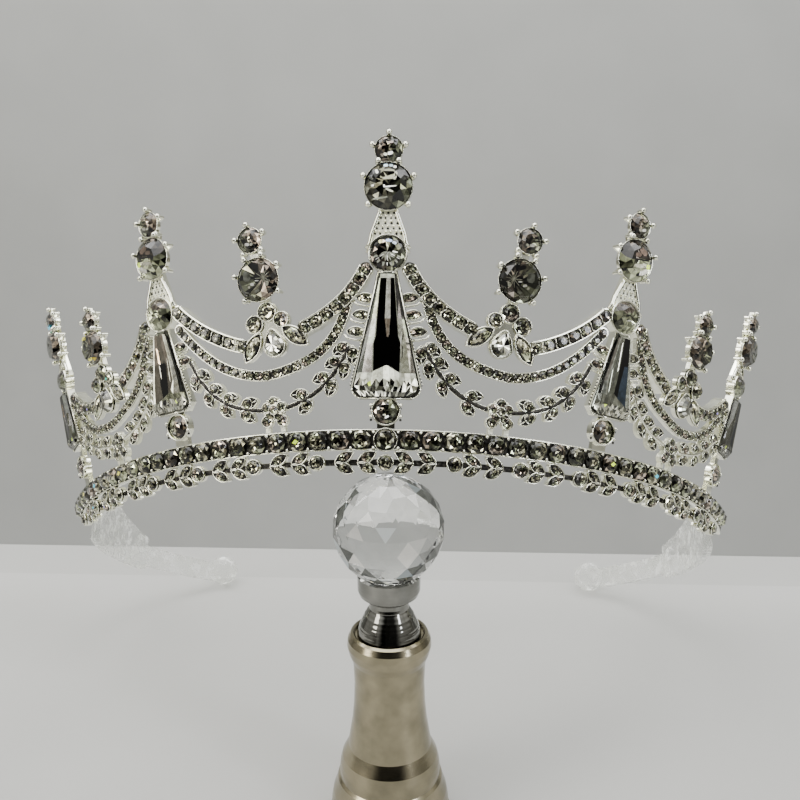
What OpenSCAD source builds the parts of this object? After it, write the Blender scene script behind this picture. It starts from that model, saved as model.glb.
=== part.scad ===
// A crystal tiara with its front propped on a small stand that ends in a faceted ball.
// The clear arms behind it reach back and down to the table, which is z = 0.
// Millimetres, +Z up, the front faces -Y, and the stand's axis runs up from the origin.
// Stations are arc lengths along the band from the front, heights run up its leaning wall.

/* [Circlet] */
// Radius of the band seen along its own axis
plan_r = 79; // [78.6:0.1:79.4]
// Outward lean of the wall that all the stones stand on
flare = 19.4; // [19:0.1:20]
// How far the whole circlet tips back from level
tilt = 38.4; // [38.2:0.1:38.6]
// Height of the middle of the band above the table, at the front
front_z = 79; // [78.8:0.1:79.2]

/* [Band] */
// Height of the channel that holds the row of stones
band_h = 3.84; // [3.8:0.02:3.9]
// Thickness of the channel's back
band_back = 1.1; // [1:0.1:1.3]
// Where the metal ends on each side
band_end = 104; // [102:1:105]
// Distance from stone to stone
band_pitch = 4; // [3.9:0.05:4.05]
// Width of a band stone
band_stone = 3.6; // [3.3:0.05:3.7]

/* [Openwork] */
// Thickness of the leaf, garland and lower swag plates
plate_t = 1; // [0.9:0.1:1.2]
// Depth of the upper swag's cups
swag_t = 2.3; // [1.8:0.1:2.5]
// Width of an upper swag stone
swag_stone = 2.1; // [1.9:0.05:2.2]
// Distance from round to round along the leaf row
leaf_pitch = 12.65; // [12.6:0.05:12.7]

/* [Stand] */
// Width of the faceted ball
ball_d = 20.9; // [20.5:0.1:21]
// Radius of the foot
foot_r = 12.1; // [11.8:0.1:12.6]

/* [Arms] */
// Thickness of the clear arms
arm_t = 2.2; // [1.8:0.1:2.4]

/* [Hidden] */
$fn = 48;
gap = 0.12;
seat = 0.1;
turn = 180 / PI;
floor_out = -0.5;
lip_out = 0;
lip_w = 0.42;
centre_stone = 4;
first_pitch = 4.4;
band_stones = 24;
leaf_mid = -4.12;
leaf_len = 4.1;
leaf_w = 2.1;
leaf_slope = 28;
leaf_rounds = 7;
leaf_off = 0.95;
leaf_spots = [3.45, 7.6];
leaf_stone = 1.75;
link_stone = 2.5;
link_d = link_stone + 0.6;
foot_h = band_h / 2 + gap;
small_crown = 0.34;
small_table = 0.56;
bezel_w = 0.45;
bezel_h = 0.7;
prong_r = 0.34;
prong_ball = 0.54;
prong_t = 0.5;
garland_leaf = [3.8, 2.4];
garland_off = 1.25;
garland_splay = 24;
stem_w = 0.85;
stem_knot = 0.9;
core_r = 1.2;
petal_r = 1.05;
petal_at = 1.45;
flower_foot = [1.5, -2.1];
flower_foot_r = 1.1;
side_leaf = [3.6, 2.1];
stalk_w = 1.6;
cup_share = 0.8;
neck_grow = 0.95;
swag_walls = 0.62;
swag_joint = 0.96;
fine_w = 2.05;
cut_x = 5.2;
drop_leaf = [4.35, -1.8];
drop_leaf_lean = 48;
drop_leaf_rim = [6.4, 3.1];
drop_leaf_stone = 2.3;
drop_leaf_stretch = 2;
pear_at = -2.5;
pear_size = [3.9, 5, 1.5];
pear_seat = 4.9;
trefoil_rim = 0.7;
front_x = -0.5;
front_y = 1;
ball_z = 72.45 - ball_d / 2;
arm_r = plan_r - 2.3;
hook_r = 52;
arm_low = -4.5;
arm_top = 8.5;
hook_top = 2.6;
hook_low = -1.1;
hook_from = -29;
arm_slope = 14.2;
plate_from = -14;
plate_to = 21;
cap_at = 54;
arm_in = 0.12;
boss_d = 3.4;
cap_r = 4.15;
cup_rim = 52.8;
cup_clear = 0.2;
foot_step = 11.7;
silver = [0.86, 0.87, 0.88];
crystal = [0.78, 0.8, 0.8];

// A crest carries a long tapered stone between two round ones
// station, top h, top d, big h, big d, round h, round d, taper top, taper foot, top w, foot w,
// low h, low d, low x
crest_rows = [
    [0, 53.1, 5, 46.2, 8.7, 33.9, 6.4, 30.2, 7.7, 2.8, 12, 5.2, 4.5, 0],
    [42.1, 46.3, 4.8, 39.3, 8.1, 28, 6.2, 24.6, 8.7, 2.6, 9, 5.6, 4.5, -0.7],
    [80.6, 41.1, 4.4, 34.8, 6.9, 26.4, 5.2, 23.6, 10.8, 2.4, 6.6, 6, 4.2, -0.3]
];
// A drop spike hangs three drops below a trefoil
// station, pivot x, pivot h, lean, big up, big d, top up, top d
drop_rows = [
    [20.9, -1, 20.5, 10, 10.2, 8.1, 18, 4.7],
    [61.6, -0.2, 17.6, 5, 9.7, 6.9, 15.7, 4.4]
];
// Swags and stems run from a through b to c, each a station and a height
// row, a, b, c, number of cups, first cup that holds a stone of the row
upper_rows = [
    [0, [3.5, 30.9], [6.6, 24.3], [14.2, 20.75], 8, 0],
    [0, [25.6, 18.5], [33.6, 21.6], [38.2, 27.4], 7, 0],
    [1, [46.3, 26.5], [48.8, 21.2], [55, 17.6], 7, 0],
    [1, [65.4, 15.8], [71.6, 15.2], [76.6, 20.8], 7, 1]
];
lower_rows = [
    [0, [6.6, 25.4], [8.6, 13.8], [21.5, 12.6], 14],
    [0, [21.5, 12.6], [31, 12.7], [38.3, 24], 14],
    [1, [46.6, 24.6], [49, 12.6], [62, 10.4], 14],
    [1, [62, 10.4], [73, 9.5], [76.9, 20.6], 13]
];
stem_rows = [
    [0, [6.4, 17], [10.4, 8], [18, 6.4], 8],
    [0, [22, 6.2], [33, 6.5], [36.8, 17.4], 10],
    [1, [46.7, 16], [49.6, 7.8], [58.2, 6.4], 8],
    [1, [62.4, 6.2], [71, 6.2], [76.8, 12.6], 8]
];
// Leaf pairs sit at these parts of the way along each stem
pair_rows = [
    [0.06, 0.44, 0.79],
    [0.17, 0.4, 0.61, 0.82],
    [0.1, 0.32, 0.55, 0.79],
    [0.16, 0.42, 0.7, 0.94]
];
// The flower at the foot of each garland: row, station, height
flower_rows = [[0, 20.5, 6.2], [1, 60.3, 6.1]];
// Side leaves of each crest: height and distance outside the tapered stone
side_leaf_rows = [
    [[25.8, 1.75], [22.7, 1.8], [19.6, 2.1]],
    [[20.8, 1.7], [18, 1.65]],
    [[20.4, 1.6], [17.8, 1.5]]
];
// The trefoil's stones: across, up, width
trefoil = [[-2.4, 1.9, 2.6], [0, 4, 3.3], [2.95, 2.35, 3.1]];
// Angles of the prongs from straight up
big_prongs = [-22, 22, -68, 68, -133, 133];
top_prongs = [0, -74, 74, -142, 142];

function plate_x(s, h, s0) = (plan_r + h * sin(flare)) * sin((s - s0) / plan_r * turn);
function bend(a, b, c, t) = (1 - t) * (1 - t) * a + 2 * t * (1 - t) * b + t * t * c;
function along(row, t) = bend(row[1], row[2], row[3], t);
function on_face(p, s0) = [plate_x(p[0], p[1], s0), p[1]];
function heading(row, t, s0) =
    let (p = on_face(along(row, t - 0.01), s0), q = on_face(along(row, t + 0.01), s0))
    atan2(q[1] - p[1], q[0] - p[0]);
function stone_s(i) = i == 0 ? 0 : sign(i) * (first_pitch + (abs(i) - 1) * band_pitch);
// The three flat plates of a swag, before, at and after its drop spike
function plate_s(station, k) = station + k * 2 * cut_x;
function plate_of(s, station) = max(-1, min(1, round((s - station) / (2 * cut_x))));

module circlet() {
    translate([front_x, front_y, front_z]) rotate([-tilt, 0, 0]) children();
}

module on_plate(s) {
    translate([0, plan_r, 0])
        rotate([0, 0, s / plan_r * turn])
            translate([0, -plan_r, 0])
                rotate([90 + flare, 0, 0])
                    children();
}

module side(k) {
    mirror([k < 0 ? 1 : 0, 0, 0]) children();
}

module lens(l, w) {
    r = (l * l + w * w) / (4 * w);
    intersection() {
        translate([0, r - w / 2]) circle(r = r, $fn = 64);
        translate([0, w / 2 - r]) circle(r = r, $fn = 64);
    }
}

module bar(p, q, w) {
    d = q - p;
    translate(p) rotate(atan2(d[1], d[0])) translate([0, -w / 2]) square([norm(d), w]);
}

// A small round stone: a table and eight facets on a flat back
module small_stone(d) {
    cylinder(d1 = d, d2 = d * small_table, h = d * small_crown, $fn = 8);
}

// A large round stone: belly facets below the girdle, two tiers of crown facets and a table
module brilliant(d) {
    belly = d * 0.11;
    crown = d * 0.1;
    cylinder(d1 = d * 0.7, d2 = d, h = belly, $fn = 12);
    translate([0, 0, belly]) cylinder(d1 = d, d2 = d * 0.8, h = crown, $fn = 12);
    translate([0, 0, belly + crown]) cylinder(d1 = d * 0.8, d2 = d * 0.5, h = d * 0.08, $fn = 12);
}

module taper_points(r, grow) {
    top_w = r[9] / 2 + grow;
    foot_w = r[10] / 2 + grow;
    cut = r[10] * 0.13;
    polygon([
        [-top_w, r[7] + grow],
        [top_w, r[7] + grow],
        [foot_w, r[8] + cut],
        [foot_w - cut - grow / 2, r[8] - grow],
        [cut + grow / 2 - foot_w, r[8] - grow],
        [-foot_w, r[8] + cut]
    ]);
}

// The long tapered stone: its table is a narrow kite, its foot facets are wide
module taper_stone(r) {
    hull() {
        translate([0, 0, seat])
            linear_extrude(0.7) taper_points(r, -gap);
        translate([0, 0, seat + 1.7])
            linear_extrude(0.1)
                polygon([
                    [-r[9] * 0.12, r[7] - r[9]],
                    [r[9] * 0.12, r[7] - r[9]],
                    [r[10] * 0.2, r[8] + r[10] * 0.45],
                    [-r[10] * 0.2, r[8] + r[10] * 0.45]
                ]);
    }
}

module prongs(d, angles) {
    reach = d / 2 + prong_ball + gap;
    for (a = angles) rotate(-a) {
        translate([-prong_r, 0, -prong_t - 0.3]) cube([prong_r * 2, reach, prong_t]);
        translate([0, reach, -prong_t - 0.3]) cylinder(r = prong_r, h = prong_t + 0.3 + d * 0.14, $fn = 16);
        translate([0, reach, d * 0.14]) sphere(r = prong_ball, $fn = 16);
    }
}

module side_leaf_spots(r, rows) {
    for (k = [-1, 1], q = rows) {
        w = r[9] / 2 + (r[10] - r[9]) / 2 * (r[7] - q[0]) / (r[7] - r[8]);
        translate([k * (w + q[1]), q[0]]) children();
    }
}

// The grained neck widens down to the sides of the round stone
module neck_points(r, grow) {
    top_w = r[4] * 0.17 + grow;
    low_w = r[6] / 2 + neck_grow + grow;
    polygon([
        [-low_w, r[5] + 0.3 - grow],
        [low_w, r[5] + 0.3 - grow],
        [low_w - 0.8, r[5] + 1.8],
        [top_w, r[3] - r[4] * 0.34],
        [-top_w, r[3] - r[4] * 0.34],
        [0.8 - low_w, r[5] + 1.8]
    ]);
}

// The crest's outline, which the swags and garlands keep clear of
module crest_outline(r, rows, grow) {
    translate([r[13], r[11]]) circle(d = r[12] + 2 * bezel_w + 2 * grow);
    taper_points(r, bezel_w + grow);
    translate([0, r[5]]) circle(d = r[6] + 2 * bezel_w + 2 * grow);
    neck_points(r, grow);
    side_leaf_spots(r, rows) lens(side_leaf[0] + 3 * grow, side_leaf[1] + 2 * grow);
}

module crest(i) {
    r = crest_rows[i];
    on_plate(r[0]) {
        translate([0, 0, -plate_t]) linear_extrude(plate_t) {
            translate([r[13], r[11]]) circle(d = r[12] + 2 * bezel_w);
            translate([r[13] - 1.6, foot_h]) square([3.2, r[11] - foot_h]);
            translate([r[13] / 2 - 0.9, r[11]]) square([1.8, r[8] - r[11] + 1]);
            taper_points(r, bezel_w);
            translate([0, r[5]]) circle(d = r[6] + 2 * bezel_w);
            neck_points(r, 0);
            translate([0, r[3]]) circle(d = r[4] * cup_share);
            translate([-stalk_w / 2, r[3]]) square([stalk_w, r[1] - r[3]]);
            translate([0, r[1]]) circle(d = r[2] * cup_share);
            side_leaf_spots(r, side_leaf_rows[i]) lens(side_leaf[0], side_leaf[1]);
        }
        linear_extrude(bezel_h) difference() {
            union() {
                translate([r[13], r[11]]) circle(d = r[12] + 2 * bezel_w);
                translate([0, r[5]]) circle(d = r[6] + 2 * bezel_w);
            }
            translate([r[13], r[11]]) circle(d = r[12] + 2 * gap);
            translate([0, r[5]]) circle(d = r[6] + 2 * gap);
        }
        linear_extrude(bezel_h) difference() {
            taper_points(r, bezel_w);
            taper_points(r, 0);
        }
        translate([0, r[3]]) prongs(r[4], big_prongs);
        translate([0, r[1]]) prongs(r[2], top_prongs);
    }
}

module crest_clearance(i, k) {
    side(k) on_plate(crest_rows[i][0])
        translate([0, 0, -4]) linear_extrude(7) crest_outline(crest_rows[i], side_leaf_rows[i], 0.16);
}

// A point of a drop spike's own leaning frame, on its plate
function drop_point(r, p) = [
    r[1] + p[0] * cos(r[3]) + p[1] * sin(r[3]),
    r[2] - p[0] * sin(r[3]) + p[1] * cos(r[3])
];
function swag_end(i) = upper_rows[2 * i][3];
function swag_start(i) = upper_rows[2 * i + 1][1];

module drop_frame(r) {
    translate([r[1], r[2]]) rotate(-r[3]) children();
}

// Cups of one run that fall on the plate k of the spike at the given station, with their links
module cups(rows, row_id, station, k, d) {
    s0 = plate_s(station, k);
    for (r = rows) if (r[0] == row_id) {
        last = r[4] - 1;
        for (j = [0:last]) {
            p = along(r, j / last);
            q = along(r, min(j + 1, last) / last);
            here = plate_of(p[0], station) == k;
            if (here) translate(on_face(p, s0)) circle(d = d, $fn = 24);
            if (j < last && (here || plate_of(q[0], station) == k))
                bar(on_face(p, s0), on_face(q, s0), d * swag_joint);
        }
    }
}

module swag_plate(i, k) {
    st = drop_rows[i][0];
    on_plate(plate_s(st, k)) {
        translate([0, 0, -swag_t]) linear_extrude(swag_t) cups(upper_rows, i, st, k, swag_stone + swag_walls);
        translate([0, 0, -plate_t]) linear_extrude(plate_t) cups(lower_rows, i, st, k, fine_w);
    }
}

module drop_plate(i) {
    r = drop_rows[i];
    on_plate(r[0]) {
        drop_frame(r) {
            translate([0, 0, -plate_t]) linear_extrude(plate_t) {
                translate([0, pear_at + 0.25]) circle(d = pear_seat);
                translate([0, -0.6]) circle(d = 3.4);
                for (m = [-1, 1]) {
                    translate([m * drop_leaf[0], drop_leaf[1]]) rotate(-m * drop_leaf_lean)
                        lens(drop_leaf_rim[0], drop_leaf_rim[1]);
                    translate([m * 1.9, 0.4]) circle(d = 3);
                }
                for (q = trefoil) translate([q[0], q[1]]) circle(d = q[2] + trefoil_rim);
                translate([-1, 0]) square([2, r[4]]);
                translate([0, r[4]]) circle(d = r[5] * cup_share);
                translate([-stalk_w / 2, r[4]]) square([stalk_w, r[6] - r[4]]);
                translate([0, r[6]]) circle(d = r[7] * cup_share);
            }
            translate([0, r[4]]) prongs(r[5], big_prongs);
            translate([0, r[6]]) prongs(r[7], top_prongs);
        }
        translate([0, 0, -plate_t]) linear_extrude(plate_t - 0.2)
            for (m = [-1, 1])
                bar(
                    drop_point(r, [m * 3.4, -0.9]),
                    on_face(m < 0 ? swag_end(i) : swag_start(i), r[0]),
                    stalk_w
                );
    }
}

module swag(i, k) {
    difference() {
        side(k) {
            for (j = [-1:1]) swag_plate(i, j);
            drop_plate(i);
        }
        crest_clearance(i, k);
        crest_clearance(i + 1, k);
    }
}

module stem(r, station, k) {
    s0 = plate_s(station, k);
    n = r[4];
    for (j = [0:n - 1]) {
        p = along(r, j / n);
        q = along(r, (j + 1) / n);
        if (plate_of((p[0] + q[0]) / 2, station) == k) {
            bar(on_face(p, s0), on_face(q, s0), stem_w);
            translate(on_face(p, s0)) circle(d = stem_knot, $fn = 24);
            translate(on_face(q, s0)) circle(d = stem_knot, $fn = 24);
        }
    }
}

// Leaf tips point to the flower, which lies ahead of the first stem and behind the second
module leaf_pairs(r, spots, splay, station, k) {
    s0 = plate_s(station, k);
    for (t = spots) {
        p = along(r, t);
        if (plate_of(p[0], station) == k)
            translate(on_face(p, s0)) rotate(heading(r, t, s0))
                for (m = [-1, 1]) translate([0, m * garland_off]) rotate(m * splay)
                    lens(garland_leaf[0], garland_leaf[1]);
    }
}

module garland_plate(i, k) {
    st = drop_rows[i][0];
    on_plate(plate_s(st, k)) translate([0, 0, -plate_t]) linear_extrude(plate_t) {
        for (j = [0:3]) if (stem_rows[j][0] == i) {
            stem(stem_rows[j], st, k);
            leaf_pairs(stem_rows[j], pair_rows[j], j % 2 == 0 ? garland_splay : -garland_splay, st, k);
        }
        if (k == 0) {
            f = flower_rows[i];
            translate(on_face([f[1], f[2]], st)) {
                circle(r = core_r);
                for (a = [0:4]) rotate(a * 72 + 90) translate([petal_at, 0]) circle(r = petal_r);
                for (m = [-1, 1]) {
                    translate([m * flower_foot[0], flower_foot[1]]) circle(r = flower_foot_r);
                    translate([m * flower_foot[0] - stem_knot / 2, foot_h - f[2]])
                        square([stem_knot, f[2] - foot_h - 1.5]);
                }
                for (m = [-1, 1]) translate([m * 1.2 - 0.6, -0.9]) square([1.2, 1.2]);
                translate([-2.4, -0.4]) square([4.8, stem_knot]);
            }
        }
    }
}

module garland(i, k) {
    difference() {
        side(k) for (j = [-1:1]) garland_plate(i, j);
        crest_clearance(i, k);
        crest_clearance(i + 1, k);
    }
}

// Wall profile from heights and distances outward to radius and level
function wall(h, out) = [plan_r + h * sin(flare) + out * cos(flare), h * cos(flare) - out * sin(flare)];

module wall_arc(points, from, to) {
    translate([0, plan_r, 0])
        rotate([0, 0, -90 + from])
            rotate_extrude(angle = to - from, $fn = 180)
                polygon([for (p = points) wall(p[0], p[1])]);
}

module band_rail() {
    half = band_h / 2;
    reach = band_end / plan_r * turn;
    color(silver) circlet() wall_arc([
        [-half, floor_out - band_back],
        [half, floor_out - band_back],
        [half, lip_out],
        [half - lip_w, lip_out],
        [half - lip_w, floor_out],
        [lip_w - half, floor_out],
        [lip_w - half, lip_out],
        [-half, lip_out]
    ], -reach, reach);
}

module leaf_pair(x) {
    for (m = [-1, 1])
        translate([x, leaf_mid + m * leaf_off]) rotate(-m * leaf_slope) lens(leaf_len, leaf_w);
}

module leaf_unit(i) {
    s0 = (i + 0.5) * leaf_pitch;
    on_plate(s0) translate([0, 0, -plate_t]) {
        linear_extrude(plate_t) {
            for (x = leaf_spots) leaf_pair(x - leaf_pitch / 2);
            translate([leaf_pitch / 2, leaf_mid]) circle(d = link_d);
        }
        linear_extrude(plate_t - 0.25)
            translate([-leaf_pitch / 2, leaf_mid - 0.55]) square([leaf_pitch, 1.1]);
    }
}

module leaf_row() {
    color(silver) circlet() {
        on_plate(0) translate([0, leaf_mid, -plate_t]) cylinder(d = link_d, h = plate_t);
        for (k = [-1, 1], i = [0:leaf_rounds - 1]) side(k) leaf_unit(i);
    }
}

module crest_node(i, k) {
    color(silver) circlet() side(k) crest(i);
}

module swag_node(i, k) {
    color(silver) circlet() swag(i, k);
}

module garland_node(i, k) {
    color(silver) circlet() garland(i, k);
}

module crest_stone(i, k, kind) {
    r = crest_rows[i];
    color(crystal) circlet() side(k) on_plate(r[0]) {
        if (kind == "top") translate([0, r[1], seat]) brilliant(r[2]);
        if (kind == "big") translate([0, r[3], seat]) brilliant(r[4]);
        if (kind == "round") translate([0, r[5], seat]) brilliant(r[6]);
        if (kind == "taper") taper_stone(r);
    }
}

module pear(d, l, h) {
    hull() {
        linear_extrude(0.4) {
            circle(d = d, $fn = 12);
            translate([0, l - d / 2 - 0.3]) circle(d = 0.6, $fn = 6);
        }
        translate([0, 0, h]) linear_extrude(0.1) {
            circle(d = d * 0.5, $fn = 12);
            translate([0, (l - d / 2) * 0.45]) circle(d = 0.4, $fn = 6);
        }
    }
}

module drop_stone(i, k, kind) {
    r = drop_rows[i];
    color(crystal) circlet() side(k) on_plate(r[0]) drop_frame(r) {
        if (kind == "top") translate([0, r[6], seat]) brilliant(r[7]);
        if (kind == "big") translate([0, r[4], seat]) brilliant(r[5]);
        if (kind == "pear") translate([0, pear_at, seat]) pear(pear_size[0], pear_size[1], pear_size[2]);
    }
}

module base_stones() {
    color(crystal) circlet() {
        for (i = [0:2], k = i == 0 ? [1] : [-1, 1])
            side(k) on_plate(crest_rows[i][0])
                translate([crest_rows[i][13], crest_rows[i][11], seat]) brilliant(crest_rows[i][12]);
    }
}

module drop_small_stones() {
    color(crystal) circlet() {
        for (i = [0, 1], k = [-1, 1])
            side(k) on_plate(drop_rows[i][0]) drop_frame(drop_rows[i]) translate([0, 0, seat]) {
                for (q = trefoil) translate([q[0], q[1], 0]) small_stone(q[2]);
                for (m = [-1, 1])
                    translate([m * drop_leaf[0], drop_leaf[1], 0])
                        rotate(-m * drop_leaf_lean) scale([drop_leaf_stretch, 1, 1])
                            small_stone(drop_leaf_stone);
            }
    }
}

module band_stone_row() {
    color(crystal) circlet()
        for (i = [-band_stones:band_stones])
            on_plate(stone_s(i)) translate([0, 0, lip_out + seat])
                small_stone(i == 0 ? centre_stone : band_stone);
}

module leaf_unit_stones(i) {
    on_plate((i + 0.5) * leaf_pitch) translate([0, leaf_mid, seat]) {
        for (x = leaf_spots, m = [-1, 1])
            translate([x - leaf_pitch / 2, m * leaf_off, 0]) small_stone(leaf_stone);
        translate([leaf_pitch / 2, 0, 0]) small_stone(link_stone);
    }
}

module leaf_stone_row() {
    color(crystal) circlet() {
        on_plate(0) translate([0, leaf_mid, seat]) small_stone(link_stone);
        for (k = [-1, 1], i = [0:leaf_rounds - 1]) side(k) leaf_unit_stones(i);
    }
}

module swag_stones(i, k) {
    st = drop_rows[i][0];
    s0 = plate_s(st, k);
    for (r = upper_rows) if (r[0] == i)
        for (j = [r[5]:r[4] - 1]) {
            p = along(r, j / (r[4] - 1));
            if (plate_of(p[0], st) == k)
                on_plate(s0) translate(concat(on_face(p, s0), seat)) small_stone(swag_stone);
        }
}

module swag_stone_rows() {
    color(crystal) circlet() for (m = [-1, 1], i = [0, 1], k = [-1:1]) side(m) swag_stones(i, k);
}

// One bent strip of a clear arm, between two angles and two heights
// Each strip is thinner than the one that it joins inside, by inset on both sides
module strip(from, to, low, high, r, inset) {
    translate([arm_r - r, plan_r, 0])
        rotate([0, 0, from])
            rotate_extrude(angle = to - from, $fn = 180)
                translate([r - arm_t + inset, low]) square([arm_t - 2 * inset, high - low]);
}

module clear_arm(k) {
    color([0.8, 0.84, 0.86, 0.4]) circlet() side(k) {
        strip(hook_from, plate_from + 1, hook_low, hook_top, arm_r, arm_in);
        difference() {
            union() {
                strip(plate_from, 0, arm_low, arm_top, arm_r, 0);
                strip(-4, plate_to, arm_low + arm_in, arm_top - arm_in, hook_r, arm_in);
            }
            translate([arm_r - 20, plan_r + 1, arm_top]) rotate([-arm_slope, 0, 0]) cube([40, 40, 20]);
        }
        strip(plate_to - 1, cap_at - 2, arm_low + 1.3, 2.2, hook_r, 2 * arm_in);
        translate([arm_r - hook_r, plan_r, 0]) rotate([0, 0, cap_at])
            translate([hook_r - arm_t / 2, 0, 0.2]) sphere(r = cap_r);
        translate([arm_r - hook_r, plan_r, 0]) rotate([0, 0, 16])
            translate([hook_r - arm_t - 0.8, 0, 1]) rotate([0, 90, 0]) cylinder(d = boss_d, h = 2);
    }
}

module stand_ball() {
    color(crystal) translate([0, 0, ball_z]) rotate([0, 0, 15]) sphere(d = ball_d, $fn = 12);
}

module stand_cup() {
    color([0.8, 0.81, 0.83]) difference() {
        rotate_extrude($fn = 96) polygon([
            [0, 40.3], [6.15, 40.3], [6.15, 41], [5.44, 42.9], [4.67, 44.6], [3.8, 46.1],
            [3.5, 47.5], [4.8, 48.2], [5.65, 49], [5.95, 49.9], [6, cup_rim], [0, cup_rim]
        ]);
        translate([0, 0, ball_z]) sphere(d = ball_d + cup_clear, $fn = 96);
    }
}

module stand_column() {
    color([0.72, 0.69, 0.65]) rotate_extrude($fn = 96)
        polygon([
            [0, 0], [foot_r, 0], [foot_r, 1], [foot_step, 1.6], [foot_step, 3.8], [11.35, 5.8], [10.7, 7.7],
            [10.4, 8.9], [9.95, 9.5], [9.95, 11], [9.8, 12.4], [9.4, 14], [8.5, 15.8], [8.2, 16.4],
            [7.83, 18.7], [7.3, 22.1], [6.97, 25.5], [6.8, 30], [6.95, 34], [7.1, 35], [7.75, 36.6],
            [8.1, 38.2], [7.95, 39.5], [7.4, 40.6], [6.9, 40.95], [6.6, 40.7], [6.5, 40.2], [0, 40.2]
        ]);
}

band_rail();
leaf_row();
crest_node(0, 1);  // crest_front
crest_node(1, -1);  // crest_left
crest_node(1, 1);  // crest_right
crest_node(2, -1);  // crest_left_end
crest_node(2, 1);  // crest_right_end
swag_node(0, -1);  // swag_left
swag_node(0, 1);  // swag_right
swag_node(1, -1);  // swag_left_end
swag_node(1, 1);  // swag_right_end
garland_node(0, -1);  // garland_left
garland_node(0, 1);  // garland_right
garland_node(1, -1);  // garland_left_end
garland_node(1, 1);  // garland_right_end
crest_stone(0, 1, "top");  // front_top_stone
crest_stone(0, 1, "big");  // front_big_stone
crest_stone(0, 1, "round");  // front_round_stone
crest_stone(0, 1, "taper");  // front_taper_stone
crest_stone(1, -1, "top");  // crest_left_top_stone
crest_stone(1, -1, "big");  // crest_left_big_stone
crest_stone(1, -1, "round");  // crest_left_round_stone
crest_stone(1, -1, "taper");  // crest_left_taper_stone
crest_stone(1, 1, "top");  // crest_right_top_stone
crest_stone(1, 1, "big");  // crest_right_big_stone
crest_stone(1, 1, "round");  // crest_right_round_stone
crest_stone(1, 1, "taper");  // crest_right_taper_stone
crest_stone(2, -1, "top");  // left_end_top_stone
crest_stone(2, -1, "big");  // left_end_big_stone
crest_stone(2, -1, "round");  // left_end_round_stone
crest_stone(2, -1, "taper");  // left_end_taper_stone
crest_stone(2, 1, "top");  // right_end_top_stone
crest_stone(2, 1, "big");  // right_end_big_stone
crest_stone(2, 1, "round");  // right_end_round_stone
crest_stone(2, 1, "taper");  // right_end_taper_stone
drop_stone(0, -1, "top");  // drop_left_top_stone
drop_stone(0, -1, "big");  // drop_left_big_stone
drop_stone(0, -1, "pear");  // drop_left_pear_stone
drop_stone(0, 1, "top");  // drop_right_top_stone
drop_stone(0, 1, "big");  // drop_right_big_stone
drop_stone(0, 1, "pear");  // drop_right_pear_stone
drop_stone(1, -1, "top");  // drop_left_end_top_stone
drop_stone(1, -1, "big");  // drop_left_end_big_stone
drop_stone(1, -1, "pear");  // drop_left_end_pear_stone
drop_stone(1, 1, "top");  // drop_right_end_top_stone
drop_stone(1, 1, "big");  // drop_right_end_big_stone
drop_stone(1, 1, "pear");  // drop_right_end_pear_stone
base_stones();
drop_small_stones();
band_stone_row();
leaf_stone_row();
swag_stone_rows();
clear_arm(-1);  // clear_arm_left
clear_arm(1);  // clear_arm_right
stand_ball();
stand_cup();
stand_column();
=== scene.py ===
import math
import random
from collections import namedtuple

import bpy
import numpy as np
from mathutils import Matrix, Vector


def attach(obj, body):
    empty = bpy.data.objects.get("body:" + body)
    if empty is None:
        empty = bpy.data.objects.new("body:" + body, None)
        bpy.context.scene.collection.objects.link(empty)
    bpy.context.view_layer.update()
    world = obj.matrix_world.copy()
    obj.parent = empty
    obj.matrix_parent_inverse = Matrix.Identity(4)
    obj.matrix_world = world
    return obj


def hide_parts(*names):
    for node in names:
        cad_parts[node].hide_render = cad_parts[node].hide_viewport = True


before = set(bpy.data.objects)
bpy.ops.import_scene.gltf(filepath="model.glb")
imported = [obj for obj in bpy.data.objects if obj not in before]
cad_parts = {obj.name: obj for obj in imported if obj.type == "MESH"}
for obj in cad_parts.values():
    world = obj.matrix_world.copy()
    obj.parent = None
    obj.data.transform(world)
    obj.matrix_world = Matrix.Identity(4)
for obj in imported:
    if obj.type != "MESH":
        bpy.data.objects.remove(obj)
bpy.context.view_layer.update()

rng = random.Random(11)

# lengths are in millimetres until a mesh is made, and the tables repeat those of the CAD source
milli = 0.001
circlet = {
    "radius": 79.0,
    "flare": math.radians(19.4),
    "tilt": math.radians(38.4),
    "front": (-0.5, 1.0, 79.0),
    "plate": 10.4,          # each swag lies on three flat plates of this width
}
seat = 0.1                  # every stone sits this far above its plate

# H is a height up the wall, D a stone's diameter and W a width of the long tapered stone
Crest = namedtuple("Crest", (
    "station", "topH", "topD", "bigH", "bigD", "roundH", "roundD", "taperTop", "taperFoot", "topW", "footW",
    "lowH", "lowD", "lowX"))
crestRows = [
    Crest(0, 53.1, 5, 46.2, 8.7, 33.9, 6.4, 30.2, 7.7, 2.8, 12, 5.2, 4.5, 0),
    Crest(42.1, 46.3, 4.8, 39.3, 8.1, 28, 6.2, 24.6, 8.7, 2.6, 9, 5.6, 4.5, -0.7),
    Crest(80.6, 41.1, 4.4, 34.8, 6.9, 26.4, 5.2, 23.6, 10.8, 2.4, 6.6, 6, 4.2, -0.3),
]
# the spikes on the swags lean about a pivot, and their stones sit at distances up from it
Drop = namedtuple("Drop", "station pivotX pivotH lean bigUp bigD topUp topD")
dropRows = [
    Drop(20.9, -1, 20.5, 10, 10.2, 8.1, 18, 4.7),
    Drop(61.6, -0.2, 17.6, 5, 9.7, 6.9, 15.7, 4.4),
]
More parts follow.
